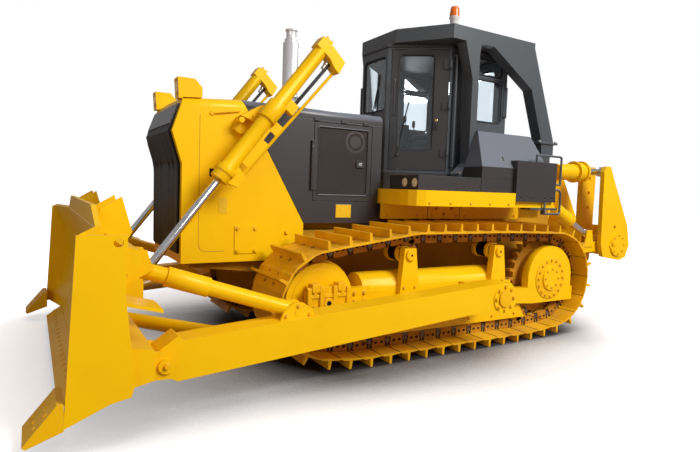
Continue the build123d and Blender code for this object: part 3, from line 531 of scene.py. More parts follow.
# bolt heads on both sides: radius, places on the left, then body, direction, finish and height over radius
sideways = (0, 1, 0)
upward = (0, 0, 1)
usual, onBlade = ("tractor", sideways, "steelPaint", 1.1), ("blade", sideways, "steelPaint", 1.1)
bolts = {
    "coverBolts": (0.019, [spot(x, 606, z) for x in (3590, 3772) for z in (1062, 1280)]
                   + [spot(3248, 600, 1236), spot(3337, 600, 1072)], usual),
    "hubBolts": (0.017, ringOf(spot(0, 1311, 695), sideways, 0.222, 16), usual),
    "capBolts": (0.013, ringOf(spot(0, 1330, 695), sideways, 0.115, 8), usual),
    "lipBolts": (0.012, [spot(x, 1300, 1590) for x in range(800, 2000, 290)], usual),
    "skirtBolts": (0.014, [spot(x, 695, z) for x in (30, 900, 1045, 1425, 1550, 1640, 2080)
                           for z in (1425, 1560)], usual),
    "postBolts": (0.017, [spot(x, y, 1925) for x in (990, 1228) for y in (810, 930)],
                  ("tractor", upward, "steelPaint", 1.1)),
    "legBolts": (0.017, [spot(x, y, 2392) for x in (-385, -85) for y in (805, 945)],
                 ("tractor", upward, "zincBolt", 1.1)),
    "trunnionBolts": (0.018, ringOf(spot(1309, 1792, 634), sideways, 0.122, 8), onBlade),
    "armBolts": (0.015, [spot(x, 1735, z) for x, z in ((3530, 665), (3740, 665), (3632, 740))], onBlade),
    "flushEdge": (0.015, [spot(5272, y, 162) for y in range(75, 1440, 150)],
                  ("blade", (0.58, 0, 0.815), "steelPaint", 0.3)),
    "flushBit": (0.018, [spot(x, y, z) for x, z in ((5437, 254), (5498, 180)) for y in (1740, 1840, 1940)],
                 ("blade", (0.774, 0, 0.633), "steelPaint", 0.3)),
    "tiltBolts": (0.02, [spot(4692, 1845, 424)], onBlade),
    "idlerBolts": (0.018, [spot(x, 1295, z) for x in (2720, 2830) for z in (630, 705)]
                   + [spot(x, 1311, z) for x in (2985, 3270) for z in (610, 735)], usual),
    "postBoltsLow": (0.014, [spot(x + dx, 1295, 720) for x in (900, 2170) for dx in (-70, 70)], usual),
    "guideBolts": (0.015, [spot(x, 1255, 300) for x in range(560, 2700, 365)], usual),
    "bossBolts": (0.016, ringOf(spot(-2600, 528, 962), sideways, 0.148, 8),
                  ("ripper_tool", sideways, "steelPaint", 1.1)),
}
for name, (radius, spots, (body, direction, finish, tall)) in bolts.items():
    for side, sign in sides.items():
        outward = (direction[0], sign * direction[1], direction[2])
        boltSet(f"{name}_{side}", onSide(spots, sign), outward, radius, body, finish, tall)

cylinders = {  # bolted ends of the cylinders: body, end centre, direction, ring radius, bolt radius, count
    "liftGland": ("lift_barrels", spot(3997.5, 850, 1809), (0.609, 0, -0.793), 0.074, 0.010, 8),
    "pitchFlange": ("ripper_pitch_barrels", spot(-1777, 360, 2087), (-0.9988, 0, 0.048), 0.140, 0.014, 12),
    "pitchRing": ("ripper_pitch_barrels", spot(-1599, 360, 2079), (-0.9988, 0, 0.048), 0.150, 0.010, 12),
    "ripGland": ("ripper_lift_barrels", spot(-1561, 360, 1336), (-0.905, 0, -0.425), 0.086, 0.010, 8),
}
for name, (body, center, direction, ring, radius, count) in cylinders.items():
    for side, sign in sides.items():
        spots = ringOf(onSide([center], sign)[0], direction, ring, count)
        boltSet(f"{name}_{side}", spots, direction, radius, body, "zincBolt")

liftCap = {"direction": Vector((-0.609, 0, 0.793)), "across": Vector((-0.793, 0, -0.609)),
           "center": spot(2965.7, 850, 3152.8),
           "offsets": [(a, b) for a in (-0.032, 0.028) for b in (-0.03, 0.03)]}
for side, sign in sides.items():
    center = onSide([liftCap["center"]], sign)[0]
    spots = [center + liftCap["across"] * a + Vector((0, b, 0)) for a, b in liftCap["offsets"]]
    boltSet(f"liftCap_{side}", spots, liftCap["direction"], 0.013, "lift_barrels", "steelPaint")
    sideDisc(f"hubCover_{side}", [(0.262, 0), (0.262, 0.008), (0.25, 0.012), (0.16, 0.012)],
             spot(0, sign * 1300, 695), sign, "steelPaint")
    sideDisc(f"trunnionPlate_{side}", [(0.088, 0), (0.088, 0.010), (0.05, 0.014), (0.02, 0.014)],
             spot(1309, sign * 1800, 634), sign, "steelPaint")
    lathe(f"fittingHigh_{side}", [(0.024, 0), (0.026, 0.03), (0.020, 0.035), (0.020, 0.08)],
          spot(2974, sign * 850, 2941), -liftCap["direction"], "lift_barrels", "zincBolt")
print("stage: bolts")

# engine doors: a mesh sheet over the air cleaner, in metres from the door's box, but latchHigh from the ground
engineDoor = {"plateIn": 0.028, "front": 0.049, "rear": 0.669, "foot": 0.065, "head": 0.043, "rim": 0.007,
              "latchHigh": 1.972, "knuckle": 0.0125}
cleanerParts = {"Rim": ([(0.122, 0), (0.122, 0.006), (0.112, 0.009)], "cleanerBody"),
                "Groove": ([(0.100, 0.008), (0.100, 0.0095)], "darkHollow"),
                # the groove is a near-black ring: painted shade
                "Core": ([(0.066, 0.009), (0.066, 0.011), (0.050, 0.012)], "cleanerBody")}
latchParts = {"engineLatch": (Vector((0.048, 0.006, 0.036)), "blackPlastic"),
              "engineLatchGrip": (Vector((0.022, 0.011, 0.018)), "zincBolt")}
for side, sign in sides.items():
    body = f"engine_door_{side}"
    low, high = span(body)
    face = max(abs(low.y), abs(high.y)) - engineDoor["plateIn"]
    x0, x1 = low.x + engineDoor["front"], low.x + engineDoor["rear"]
    z0, z1 = low.z + engineDoor["foot"], high.z - engineDoor["head"]
    corners = [(x0, z0), (x1, z0), (x1, z1), (x0, z1)]
    # the back sheet is near-black: painted shade of the engine bay behind the mesh
    for name, inward, look in (("doorMesh", 0.006, "doorMesh"), ("doorBack", 0.0245, "darkHollow")):
        sheet(f"{name}_{side}", [(x, sign * (face - inward), z) for x, z in corners], body, look)
    cleaner = Vector((x0 + 0.152, sign * (face - 0.024), z1 - 0.132))
    for part, (profile, look) in cleanerParts.items():
        lathe(f"airCleaner{part}_{side}", profile, cleaner, (0, sign, 0), body, look, 56)
    rim = [(x, sign * (face + 0.001), z) for x, z in corners]
    tube(f"meshRim_{side}", [rim], engineDoor["rim"], body, "darkPaint", 0.03, True)
    latch = Vector((low.x + 0.145, sign * (face + 0.003), engineDoor["latchHigh"]))
    for name, (half, look) in latchParts.items():
        slab(f"{name}_{side}", [(latch - half, latch + half)], body, look)
    knuckles = [[(high.x - 0.011, sign * 0.617, z), (high.x - 0.011, sign * 0.617, z + 0.045)]
                for z in [1.69 + 0.065 * n for n in range(8)]]
    tube(f"hingeKnuckles_{side}", knuckles, engineDoor["knuckle"], body, "darkPaint", 0)
print("stage: engine doors")

# grille frame, lamps, exhaust
nose = [(4335, 1058), (4335, 1886), (4425, 2180), (4330, 2425)]  # the grille's edge upwards, x and z
for side, sign in sides.items():
    edge = onSide([spot(x - 4, 520, z) for x, z in nose], sign)
    tube(f"grilleEdge_{side}", [edge], 0.012, "tractor", "darkPaint", 0.1)
    ribs = [onSide([spot(x - 2, y, z) for x, z in nose[:3]] + [spot(4398, y, 2250)], sign) for y in (180, 360)]
    tube(f"grilleRibs_{side}", ribs, 0.006, "tractor", "darkPaint", 0.1)
bandLow, bandHigh = spot(4400, 0, 2252), spot(4332, 0, 2436)
ends = [(point.x + 0.006, y, point.z) for y, point in
        ((-0.53, bandLow), (-0.53, bandHigh), (0.53, bandHigh), (0.53, bandLow))]
bandPiece = sheet("grilleBand", ends, "tractor", "darkPaint")
thick = bandPiece.modifiers.new("thick", "SOLIDIFY")
thick.thickness = 0.008
softEdges(bandPiece, 0.002)

for n, (low, high) in enumerate(loosePieces("front_lamps")):
    middle = Vector((high.x - 0.012, (low.y + high.y) / 2, 2.584))
    lathe(f"lampRing_{n}", [(0.064, -0.02), (0.066, 0.0), (0.060, 0.008), (0.054, 0.002)], middle, (1, 0, 0),
          "tractor", "chrome")
    lathe(f"lampLens_{n}", [(0.055, 0.002), (0.052, 0.009), (0.035, 0.014), (0.012, 0.016)], middle, (1, 0, 0),
          "tractor", "lampLens")

beaconLow, beaconHigh = span("beacon")
beaconFoot = Vector(((beaconLow.x + beaconHigh.x) / 2, (beaconLow.y + beaconHigh.y) / 2, beaconLow.z))
tall = beaconHigh.z - beaconLow.z
beaconParts = {  # finish, slot, profile as radius and share of the beacon's height
    "beaconFlange": ("blackPlastic", "black_plastic",
                     [(0.074, 0), (0.074, 0.05), (0.050, 0.08), (0.045, 0.12)]),
    "beaconBase": ("whitePlastic", "amber_lens",
                   [(0.046, 0.10), (0.048, 0.30), (0.060, 0.40), (0.060, 0.48)]),
    "beaconLens": ("amberLens", "amber_lens",
                   [(0.057, 0.47), (0.056, 0.60), (0.052, 0.85), (0.040, 0.96), (0.015, 1.0)]),
}
for name, (finish, slot, profile) in beaconParts.items():
    outline = [(radius, share * tall) for radius, share in profile]
    piece = lathe(name, outline, beaconFoot, (0, 0, 1), "tractor", finish)
    if name == "beaconBase":
        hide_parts("beacon")
pipeLow, pipeHigh = span("exhaust")
clampPlace = Vector(((pipeLow.x + pipeHigh.x) / 2, (pipeLow.y + pipeHigh.y) / 2, 2.60))
lathe("exhaustClamp", [(0.076, 0), (0.080, 0.004), (0.080, 0.030), (0.076, 0.034)], clampPlace, (0, 0, 1),
      "tractor", "zincBolt")
print("stage: lamps and beacon")

# tracks: link plates, pins and shoe bolts, set out from the tips of the grousers, in metres
linkLook = {"halfPitch": 0.1085, "tipOut": 0.165, "proud": 0.006, "railOut": 0.125, "pin": 0.030,
            "hole": 0.014, "bolt": 0.016}
tipFace = {"thin": 0.018, "thick": 0.0255, "long": 0.6}  # a grouser's tip is the only face with these edges


def trackLinks(node):  # middle of the pin line, direction along and direction out of every shoe
    obj = frame["nodes"][node]
    mesh, place, found = obj.data, obj.matrix_world, {}
    for face in mesh.polygons:
        corners = [place @ mesh.vertices[n].co for n in face.vertices]
        edges = sorted((corners[n] - corners[n - 1]).length for n in range(len(corners)))
        if not (tipFace["thin"] < edges[0] < tipFace["thick"] and edges[-1] > tipFace["long"]):
            continue
        pairs = [(corners[n] + corners[n - 1], (corners[n] - corners[n - 1]).length)
                 for n in range(len(corners))]
        tip = min(pairs, key=lambda item: item[1])[0] / 2
        found[(round(tip.x, 2), round(tip.z, 2))] = (tip, face.normal.copy())
    low, high = span(node)
    middle = (low + high) / 2
    links = []
    for tip, normal in found.values():
        out = Vector((normal.x, 0, normal.z)).normalized()
        center = Vector((tip.x, middle.y, tip.z)) - out * linkLook["tipOut"]
        links.append((center, Vector((out.z, 0, -out.x)), out))
    links.sort(key=lambda link: math.atan2(link[0].z - middle.z, (link[0].x - middle.x) / 3))
    return links


def stadium(half, radius, steps):  # the outline of a slot with round ends
    points = []
    for end, first in ((1, -90), (-1, 90)):
        for step in range(steps + 1):
            angle = math.radians(first + 180 * step / steps)
            points.append((end * half + radius * math.cos(angle), radius * math.sin(angle)))
    return points


def addPrism(mesh, outline, center, along, out, side, depth):  # an outline in a track's plane, made thick
    across = Vector((0, side, 0))
    rings = []
    for level in (0, depth):
        rings.append([mesh.verts.new(center + along * a + out * b + across * level) for a, b in outline])
    mesh.faces.new(rings[0])
    mesh.faces.new(rings[1])
    for n in range(len(outline)):
        mesh.faces.new((rings[0][n - 1], rings[0][n], rings[1][n], rings[1][n - 1]))


linkShape = [(-0.070, -0.052), (0.070, -0.052), (0.084, -0.040), (0.072, 0.0), (0.084, 0.040), (0.074, 0.0605),
             (-0.074, 0.0605), (-0.084, 0.040), (-0.072, 0.0), (-0.084, -0.040)]

for side, sign in sides.items():
    links = trackLinks(f"track_{side}")
    print(f"stage: {len(links)} links found on track_{side}")
    plates, gaps, pins, hollows, heads = [bmesh.new() for n in range(5)]
    half, proud, bolt, pin = [linkLook[part] for part in ("halfPitch", "proud", "bolt", "pin")]
    for center, along, out in links:
        for way in (1, -1):
            rail = center + Vector((0, way * linkLook["railOut"], 0))
            # a thin dark sheet behind every link plate: painted shade in the gaps between the links
            gap = [(-half, -0.054), (half, -0.054), (half, 0.061), (-half, 0.061)]
            addPrism(gaps, gap, rail, along, out, way, 0.0015)
            addPrism(plates, linkShape, rail, along, out, way, proud)
            for a in (-0.036, 0.036):
                # dark slots standing on the plate: painted shade of the link's holes
                hollow = stadium(0.005, linkLook["hole"], 5)
                addPrism(hollows, hollow, rail + along * a + out * 0.010, along, out, way, proud + 0.0012)
            seat = facing(rail + along * half + Vector((0, way * 0.004, 0)), (0, way, 0))
            bmesh.ops.create_cone(pins, cap_ends=True, segments=20, radius1=pin, radius2=pin - 0.004,
                                  depth=0.008, matrix=seat)
            for a, b in ((0.048, 0.085), (-0.055, 0.082)):
                seat = facing(center + Vector((0, way * 0.1, 0)) + along * a + out * (b + 0.004), out)
                bmesh.ops.create_cone(heads, cap_ends=True, segments=6, radius1=bolt, radius2=bolt - 0.001,
                                      depth=0.014, matrix=seat)
        # a dark strip along the shoe's edge: painted shade in the seam between the shoes
        seam = center + along * half + out * 0.0600 - Vector((0, 0.350, 0))
        addPrism(gaps, [(-0.005, 0), (0.005, 0), (0.005, 0.003), (-0.005, 0.003)], seam, along, out, 1, 0.700)
    plateData = meshFrom("linkPlates", plates)
    softEdges(addPiece(f"linkPlates_{side}", plateData, "tractor", "linkPaint"), 0.002, 1)
    for name, mesh, look in (("linkGaps", gaps, "grimyGap"), ("linkPins", pins, "linkPin"),
                             ("linkHollows", hollows, "grimyGap"), ("shoeBolts", heads, "linkPaint")):
        addPiece(f"{name}_{side}", meshFrom(name, mesh), "tractor", look, smooth=False)
print("stage: track links")

# idler blocks and carrier rollers; boxes and places are in millimetres on the left side, profiles in metres
idlerBlock = [(2900, 1295, 562, 3350, 1318, 792), (2900, 1300, 568, 2940, 1336, 786),
              (3040, 1300, 568, 3085, 1340, 800), (3180, 1300, 568, 3225, 1340, 800),
              (3310, 1300, 568, 3350, 1336, 786), (2950, 1240, 745, 3035, 1335, 824),
              (3220, 1240, 745, 3305, 1335, 824), (2900, 1300, 690, 3350, 1328, 724)]
idlerBoss = {"Boss": ([(0.050, 0), (0.050, 0.028), (0.044, 0.034), (0.030, 0.034)], "steelPaint"),
             # the hole is a near-black disc: painted shade
             "BossHole": ([(0.024, 0), (0.024, 0.0355)], "darkHollow")}
carrierTurned = {  # distance from the middle, height, profile and finish
    # the band and the cap's hole are near-black: painted shade of the roller's spool and of the hole
    "carrierBand": (1070, 1055, [(0.0850, -0.068), (0.0850, 0.068)], "darkHollow"),
    "carrierRim": (1070, 1055, [(0.070, 0.128), (0.092, 0.129), (0.092, 0.134), (0.070, 0.135)], "linkPaint"),
    "carrierCap": (1295, 1050, [(0.062, 0), (0.062, 0.016), (0.054, 0.024), (0.020, 0.024)], "steelPaint"),
    "carrierCapHole": (1295, 1050, [(0.013, 0), (0.013, 0.0255)], "darkHollow"),
}
for side, sign in sides.items():
    slab(f"idlerBlock_{side}", [(spot(*box[:3]), spot(*box[3:])) for box in idlerBlock], "tractor",
         "steelPaint", 0.006, Matrix.Scale(sign, 4, (0, 1, 0)))
    for name, (profile, look) in idlerBoss.items():
        sideDisc(f"idler{name}_{side}", profile, spot(3132, sign * 1310, 640), sign, look)
    for n, x in enumerate((900, 2170)):
        for name, (y, z, profile, look) in carrierTurned.items():
            sideDisc(f"{name}_{side}_{n}", profile, spot(x, sign * y, z), sign, look)
print("stage: track frames")


# cab: gaskets, door fittings, wipers, seat and controls
def paneLoop(low, high, inset):  # the outline of a flat upright pane, from its low and high corners
    y0, y1, z0, z1 = low.y + inset, high.y - inset, low.z + inset, high.z - inset
    if high.x - low.x < high.y - low.y:
        x = (low.x + high.x) / 2
        return [(x, y0, z0), (x, y1, z0), (x, y1, z1), (x, y0, z1)]
    x0, x1, y = low.x + inset, high.x - inset, (low.y + high.y) / 2
    return [(x0, y, z0), (x1, y, z0), (x1, y, z1), (x0, y, z1)]


for n, (low, high) in enumerate(loosePieces("cab_glass")):
    tube(f"paneGasket_{n}", [paneLoop(low, high, 0.014)], 0.013, "tractor", "rubber", 0.06, True)

doorFront, doorRear = Vector((1.850, 0.275, 0)), Vector((1.265, 0.735, 0))  # the left door's face, from above
doorWay = (doorRear - doorFront).normalized()
doorOut = Vector((doorWay.y, -doorWay.x, 0))


def doorSpot(along, out, z, sign):  # a point on a cab door: millimetres along its face, out from it and up
    place = doorFront + doorWay * along / 1000 + doorOut * out / 1000
    return Vector((axleX + place.x, sign * place.y, z / 1000))


# the door's fittings: places as along, out and up in millimetres, radii and profiles in metres
doorPane = [(136, -20, 2190), (554, -20, 2190), (554, -20, 3304), (136, -20, 3304)]
doorBars = {  # points, radius, corner and finish
    "doorLatch": ([(600, 12, 2455), (600, 34, 2465), (600, 34, 2505), (600, 12, 2515)], 0.006, 0.008,
                  "blackPlastic"),
    "doorWiper": ([(150, 4, 2130), (165, 6, 2200), (235, -6, 2600)], 0.006, 0.02, "blackPlastic"),
    "doorWiperBlade": ([(175, -11, 2330), (300, -11, 2900)], 0.008, 0, "rubber"),
}
doorTurned = {  # place, profile and finish
    "doorLock": ((600, 10, 2545), [(0.020, 0), (0.020, 0.005), (0.014, 0.010), (0.006, 0.010)], "brass"),
    "doorWiperSpindle": ((150, 0, 2130), [(0.020, 0), (0.020, 0.010), (0.012, 0.016), (0.006, 0.016)],
                         "blackPlastic"),
}
for side, sign in sides.items():
    body = f"cab_door_{side}"
    loop = [doorSpot(*point, sign) for point in doorPane]
    tube(f"doorGasket_{side}", [loop], 0.012, body, "rubber", 0.05, True)
    knuckles = [[doorSpot(742, 21, z - 30, sign), doorSpot(742, 21, z + 30, sign)] for z in (2170, 2720, 3190)]
    tube(f"doorKnuckles_{side}", knuckles, 0.0155, body, "grayPaint", 0)
    for name, (points, radius, corner, look) in doorBars.items():
        line = [doorSpot(*point, sign) for point in points]
        tube(f"{name}_{side}", [line], radius, body, look, corner)
    for name, (point, profile, look) in doorTurned.items():
        outward = (doorOut.x, sign * doorOut.y, 0)
        lathe(f"{name}_{side}", profile, doorSpot(*point, sign), outward, body, look)

wallLow, wallHigh = span("cab_walls")
front, rear = wallHigh.x, wallLow.x
wipers = {  # points, radius, corner and finish
    "frontWiper": ([(front + 0.004, 0.0, 2.56), (front + 0.010, 0.0, 2.64), (front - 0.006, 0.06, 2.92)],
                   0.006, 0.02, "blackPlastic"),
    "frontWiperBlade": ([(front - 0.011, 0.02, 2.70), (front - 0.011, 0.09, 3.10)], 0.008, 0, "rubber"),
    "rearWiper": ([(rear - 0.004, 0.0, 2.45), (rear - 0.010, 0.0, 2.58), (rear + 0.006, -0.12, 2.88)],
                  0.006, 0.02, "blackPlastic"),
    "rearWiperBlade": ([(rear + 0.011, -0.06, 2.62), (rear + 0.011, -0.18, 3.12)], 0.008, 0, "rubber"),
}
for name, (line, radius, corner, look) in wipers.items():
    tube(name, [line], radius, "tractor", look, corner)
print("stage: cab fittings")

# pads: how hard they swell and for how many steps, the furthest a point may move, the size of their cells and
# the rounding of their edges, the last three in metres
puff = {"pressure": 4, "steps": 16, "most": 0.018, "cell": 0.012, "round": 0.03}


def cushion(name, low, high, piping):  # a foam pad swollen by its own pressure, with a sewn edge
    mesh = bmesh.new()
    addBox(mesh, Vector(low), Vector(high))
    bmesh.ops.bevel(mesh, geom=mesh.edges[:], offset=puff["round"], segments=4, affect="EDGES")
    rough = newObject(name + "Rough", meshFrom(name + "Rough", mesh))
    blocks = rough.modifiers.new("blocks", "REMESH")
    blocks.mode = "VOXEL"
    blocks.voxel_size = puff["cell"]
    plain = bpy.data.meshes.new_from_object(rough.evaluated_get(bpy.context.evaluated_depsgraph_get()))
    rough.modifiers.clear()
    rough.data = plain
    start = [vert.co.copy() for vert in plain.vertices]
    cloth = rough.modifiers.new("cloth", "CLOTH")
    cloth.settings.use_pressure = True
    cloth.settings.uniform_pressure_force = puff["pressure"]
    cloth.settings.effector_weights.gravity = 0
    cloth.point_cache.frame_end = puff["steps"]
    for step in range(1, puff["steps"] + 1):
        bpy.context.scene.frame_set(step)
    swollen = bpy.data.meshes.new_from_object(rough.evaluated_get(bpy.context.evaluated_depsgraph_get()))
    bpy.context.scene.frame_set(1)
    for vert, old in zip(swollen.vertices, start):
        move = vert.co - old
        if move.length > puff["most"]:
            vert.co = old + move.normalized() * puff["most"]
    bpy.data.objects.remove(rough)
    piece = addPiece(name, swollen, "tractor", "seatCover")
    soft = piece.modifiers.new("soft", "SUBSURF")
    soft.levels = soft.render_levels = 1
    tube(name + "Piping", [piping], 0.005, "tractor", "blackPlastic", 0.04, True)
    return piece


def around(x0, y0, z0, x1, y1, z1):  # a loop through four corners, upright if both x are the same
    if x0 == x1:
        return [(x0, y0, z0), (x0, y1, z0), (x0, y1, z1), (x0, y0, z1)]
    return [(x0, y0, z0), (x1, y0, z0), (x1, y1, z0), (x0, y1, z0)]


seatLow, seatHigh = span("seat")
backX, seatX, top = seatLow.x + 0.115, seatHigh.x, seatHigh.z
baseTop = seatLow.z + 0.14
base = cushion("seatCushion", (backX + 0.01, -0.235, seatLow.z + 0.03), (seatX - 0.02, 0.235, baseTop - 0.01),
               around(backX + 0.02, -0.24, baseTop - 0.03, seatX - 0.03, 0.24, baseTop - 0.03))
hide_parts("seat")
cushion("seatBack", (seatLow.x + 0.025, -0.225, baseTop - 0.02), (backX - 0.01, 0.225, top - 0.19),
        around(backX - 0.025, -0.235, baseTop, backX - 0.025, 0.235, top - 0.20))
cushion("headRest", (seatLow.x + 0.03, -0.13, top - 0.16), (backX - 0.02, 0.13, top - 0.02),
        around(backX - 0.03, -0.135, top - 0.15, backX - 0.03, 0.135, top - 0.025))
slab("seatShell", [((seatLow.x + 0.004, -0.21, baseTop - 0.06), (seatLow.x + 0.028, 0.21, top - 0.22)),
                   ((seatLow.x + 0.01, -0.2, seatLow.z), (seatX - 0.03, 0.2, seatLow.z + 0.03))],
     "tractor", "blackPlastic", 0.008)
print("stage: seat")

controls = {  # levers at the driver's sides: x from the axle, y, height of the foot and of the knob, in metres
    "steerLever": (1.13, 0.35, 2.50, 2.66), "bladeLever": (1.08, -0.35, 2.50, 2.68),
    "ripperLever": (0.93, -0.35, 2.50, 2.62),
}
bootProfile = [(0.045, -0.002), (0.038, 0.02), (0.022, 0.045), (0.010, 0.05)]
gripProfile = [(0.012, -0.05), (0.020, -0.03), (0.023, 0.02), (0.016, 0.045), (0.006, 0.05)]
for name, (x, y, foot, knob) in controls.items():
    place = Vector((axleX + x, y, foot))
    top = place + Vector((0.02, 0, knob - foot))
    tube(name, [[place + Vector((0, 0, -0.004)), top]], 0.008, "tractor", "chrome", 0)
    for part, profile, seat, look in (("Boot", bootProfile, place, "rubber"),
                                      ("Grip", gripProfile, top, "blackPlastic")):
        lathe(name + part, profile, seat, (0, 0, 1), "tractor", look)

dashFace = span("dash")[0].x - 0.001
gaugeParts = {"gauge": ([(0.046, 0), (0.046, 0.006), (0.040, 0.008), (0.038, 0.003)], "blackPlastic"),
              "gaugeFace": ([(0.037, 0.002), (0.037, 0.004), (0.02, 0.0045)], "whitePlastic")}
for n, (y, z) in enumerate(((-0.13, 2.43), (0, 2.43), (0.13, 2.43), (-0.07, 2.31), (0.07, 2.31))):
    for name, (profile, look) in gaugeParts.items():
        lathe(f"{name}_{n}", profile, Vector((dashFace, y, z)), (-1, 0, 0), "tractor", look)
for side, sign in sides.items():
    low = Vector((axleX + 1.30, sign * 0.16, 1.99))
    slab(f"pedal_{side}", [(low - Vector((0, 0.05, 0)), low + Vector((0.02, 0.05, 0.13)))], "tractor",
         "rubber", 0.006)
    arm = [low + Vector((0.018, 0, 0.06)), low + Vector((0.16, 0, 0.12))]
    tube(f"pedalArm_{side}", [arm], 0.009, "tractor", "zincBolt", 0)
print("stage: controls")

# small parts of the body sides, in millimetres on the left side, the lid's slope in degrees
bodySide = {
    "stay": [(4030, 606, 2366), (3990, 618, 2374), (3780, 618, 2410), (3770, 604, 2413)],
    "seam": [(3900, 599.5, 1062), (4110, 599.5, 1062), (4150, 599.5, 1110), (4150, 599.5, 2350)],
    "plates": [(2583, 1460, 190, 140), (3920, 1504, 84, 150)],  # x and z of the middle, width, height
    "markerLamps": (1010, 1180), "lidLatch": (808, 1184, 2110), "lidSlope": 58,
}
latchSlabs = {"lidLatchFrame": ((-0.014, -0.034, -0.003), (0.014, 0.034, 0.0025), "zincBolt"),
              # the latch's inner slab is near-black: painted shade of its recess
              "lidLatch": ((-0.010, -0.030, -0.001), (0.010, 0.030, 0.0035), "darkHollow")}
for side, sign in sides.items():
    # a near-black slab: painted shade of the access hole
    slab(f"accessHollow_{side}", [(spot(3964, -1.5, 1777), spot(4054, 1.5, 1850))], "tractor", "darkHollow",
         0.002, Matrix.Translation((0, sign * 0.592, 0)))
    stay, seam = [onSide([spot(*point) for point in bodySide[line]], sign) for line in ("stay", "seam")]
    tube(f"hoodStay_{side}", [stay], 0.007, "tractor", "steelPaint", 0.02)
    sideDisc(f"hoodStayBoss_{side}", [(0.024, -0.003), (0.024, 0.007), (0.019, 0.011), (0.010, 0.011)],
             spot(4036, sign * 600, 2368), sign, "steelPaint")
    tube(f"guardSeam_{side}", [seam], 0.0022, "tractor", "seamLine", 0.05)
    for n, (x, z, wide, tall) in enumerate(bodySide["plates"]):
        plate = [(spot(x - wide / 2, -2.5, z - tall / 2), spot(x + wide / 2, 2.5, z + tall / 2))]
        slab(f"blankPlate_{side}_{n}", plate, "tractor", "blankPlate", 0.002,
             Matrix.Translation((0, sign * 0.6015, 0)))
    for n, y in enumerate(bodySide["markerLamps"]):
        lathe(f"markerLamp_{side}_{n}", [(0.048, -0.004), (0.048, 0.006), (0.043, 0.010), (0.015, 0.014)],
              spot(2066, sign * y, 1797), (1, 0, 0), "tractor", "creamLens")
    slope = Matrix.Rotation(-sign * math.radians(bodySide["lidSlope"]), 4, "X")
    leaning = Matrix.Translation(onSide([spot(*bodySide["lidLatch"])], sign)[0]) @ slope
    for name, (low, high, look) in latchSlabs.items():
        slab(f"{name}_{side}", [(low, high)], "tractor", look, 0.001, leaning)
print("stage: body fittings")

# place in metres, turn in degrees, lens and sensor in millimetres
camera = {"place": (4.18824, 5.60515, 1.71238), "turn": (85.934, -2.033, 149.090), "lens": 27.39, "sensor": 36}


def makeCamera():
    data = bpy.data.cameras.new("camera")
    data.lens = camera["lens"]
    data.sensor_width = camera["sensor"]
    data.clip_end = 200
    obj = newObject("camera", data)
    obj.location = camera["place"]
    obj.rotation_euler = [math.radians(angle) for angle in camera["turn"]]
    bpy.context.scene.camera = obj


lamps = {  # place, aim, size, watts
    "keyLamp": dict(place=(-3.5, 11, 10), aim=(0, 0, 1), size=7, watts=2250),
    "frontLamp": dict(place=(9, 6, 4), aim=(0, 0, 1.2), size=5, watts=130),
    "rearLamp": dict(place=(-7, -9, 8), aim=(0, 0, 1.5), size=7, watts=900),
}


def makeLamps():
    for name, lamp in lamps.items():
        data = bpy.data.lights.new(name, "AREA")
        data.shape = "DISK"
        data.size = lamp["size"]
        data.energy = lamp["watts"]
        obj = newObject(name, data)
        obj.location = lamp["place"]
        obj.rotation_euler = (Vector(lamp["aim"]) - Vector(lamp["place"])).to_track_quat("-Z", "Y").to_euler()


# light of the room on matt and on shiny faces; the background itself is white
backdrop = {"soft": 0.26, "tint": (1.0, 0.76, 0.72, 1), "shine": 0.38}


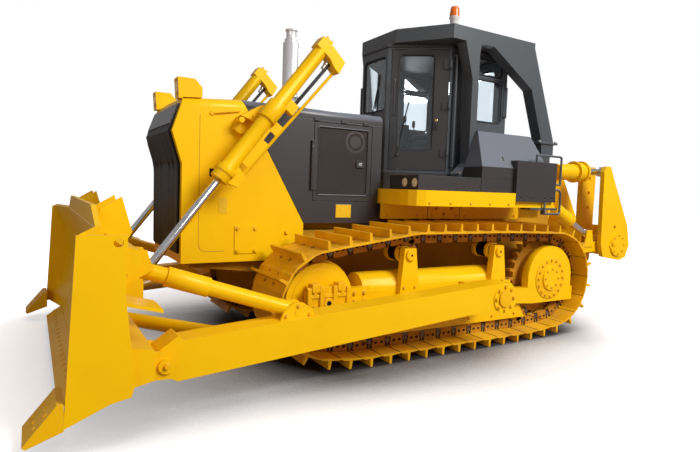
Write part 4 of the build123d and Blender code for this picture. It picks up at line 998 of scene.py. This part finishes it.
def makeWorld():
    world = bpy.data.worlds.new("studio")
    world.use_nodes = True
    tree = world.node_tree
    path = addNode(tree, "ShaderNodeLightPath").outputs
    matt = tree.nodes["Background"]
    fill(tree, matt, {"Color": backdrop["tint"], "Strength": backdrop["soft"]})
    shine = addNode(tree, "ShaderNodeBackground", {"Color": (1, 1, 1, 1), "Strength": backdrop["shine"]})
    white = addNode(tree, "ShaderNodeBackground", {"Color": (1, 1, 1, 1), "Strength": 1.0})
    inputs = {0: path["Is Glossy Ray"], 1: matt.outputs[0], 2: shine.outputs[0]}
    room = addNode(tree, "ShaderNodeMixShader", inputs).outputs[0]
    through = math2(tree, "SUBTRACT", path["Is Transmission Ray"], path["Diffuse Depth"])
    seen = math2(tree, "MAXIMUM", path["Is Camera Ray"], through)
    last = addNode(tree, "ShaderNodeMixShader", {0: seen, 1: room, 2: white.outputs[0]}).outputs[0]
    fill(tree, tree.nodes["World Output"], {0: last})
    bpy.context.scene.world = world


# the floor's colour to the camera, to the light it throws up and in the contact shadow; reach of that shadow and
# of the fade to white, and half the floor's width, in metres
floorLook = {"seen": (0.89, 0.94, 0.98, 1), "thrown": (0.34, 0.26, 0.23, 1),
             "shadow": (0.035, 0.035, 0.035, 1), "contact": 1.15, "near": 2.3, "far": 5.8, "reach": 60}


def makeFloor():
    reach = floorLook["reach"]
    mesh = bpy.data.meshes.new("floor")
    corners = [(-reach, -reach, 0), (reach, -reach, 0), (reach, reach, 0), (-reach, reach, 0)]
    mesh.from_pydata(corners, [], [(0, 1, 2, 3)])
    floor = newObject("floor", mesh)
    material, tree, shader = newMaterial("paleFloor")
    path = addNode(tree, "ShaderNodeLightPath").outputs
    seen = math2(tree, "MAXIMUM", path["Is Camera Ray"], path["Is Transmission Ray"])
    clear = addNode(tree, "ShaderNodeAmbientOcclusion", {"Distance": floorLook["contact"]}, samples=8)
    color = mixColor(tree, ramp(tree, clear.outputs["AO"], 0.42, 0.88), floorLook["shadow"], floorLook["seen"])
    away = addNode(tree, "ShaderNodeVectorMath", {0: objectPlace(tree)}, operation="LENGTH").outputs["Value"]
    glow = times(tree, ramp(tree, away, floorLook["near"], floorLook["far"]), seen)
    fill(tree, shader, {"Base Color": mixColor(tree, seen, floorLook["thrown"], color), "Roughness": 0.5,
                        "Specular IOR Level": 0.1, "Emission Color": (1, 1, 1, 1), "Emission Strength": glow})
    mesh.materials.append(material)


makeCamera()
makeLamps()
makeWorld()
makeFloor()
bpy.context.scene.view_settings.view_transform = "Standard"
print("stage: camera, lamps and floor")

print("stage: done")
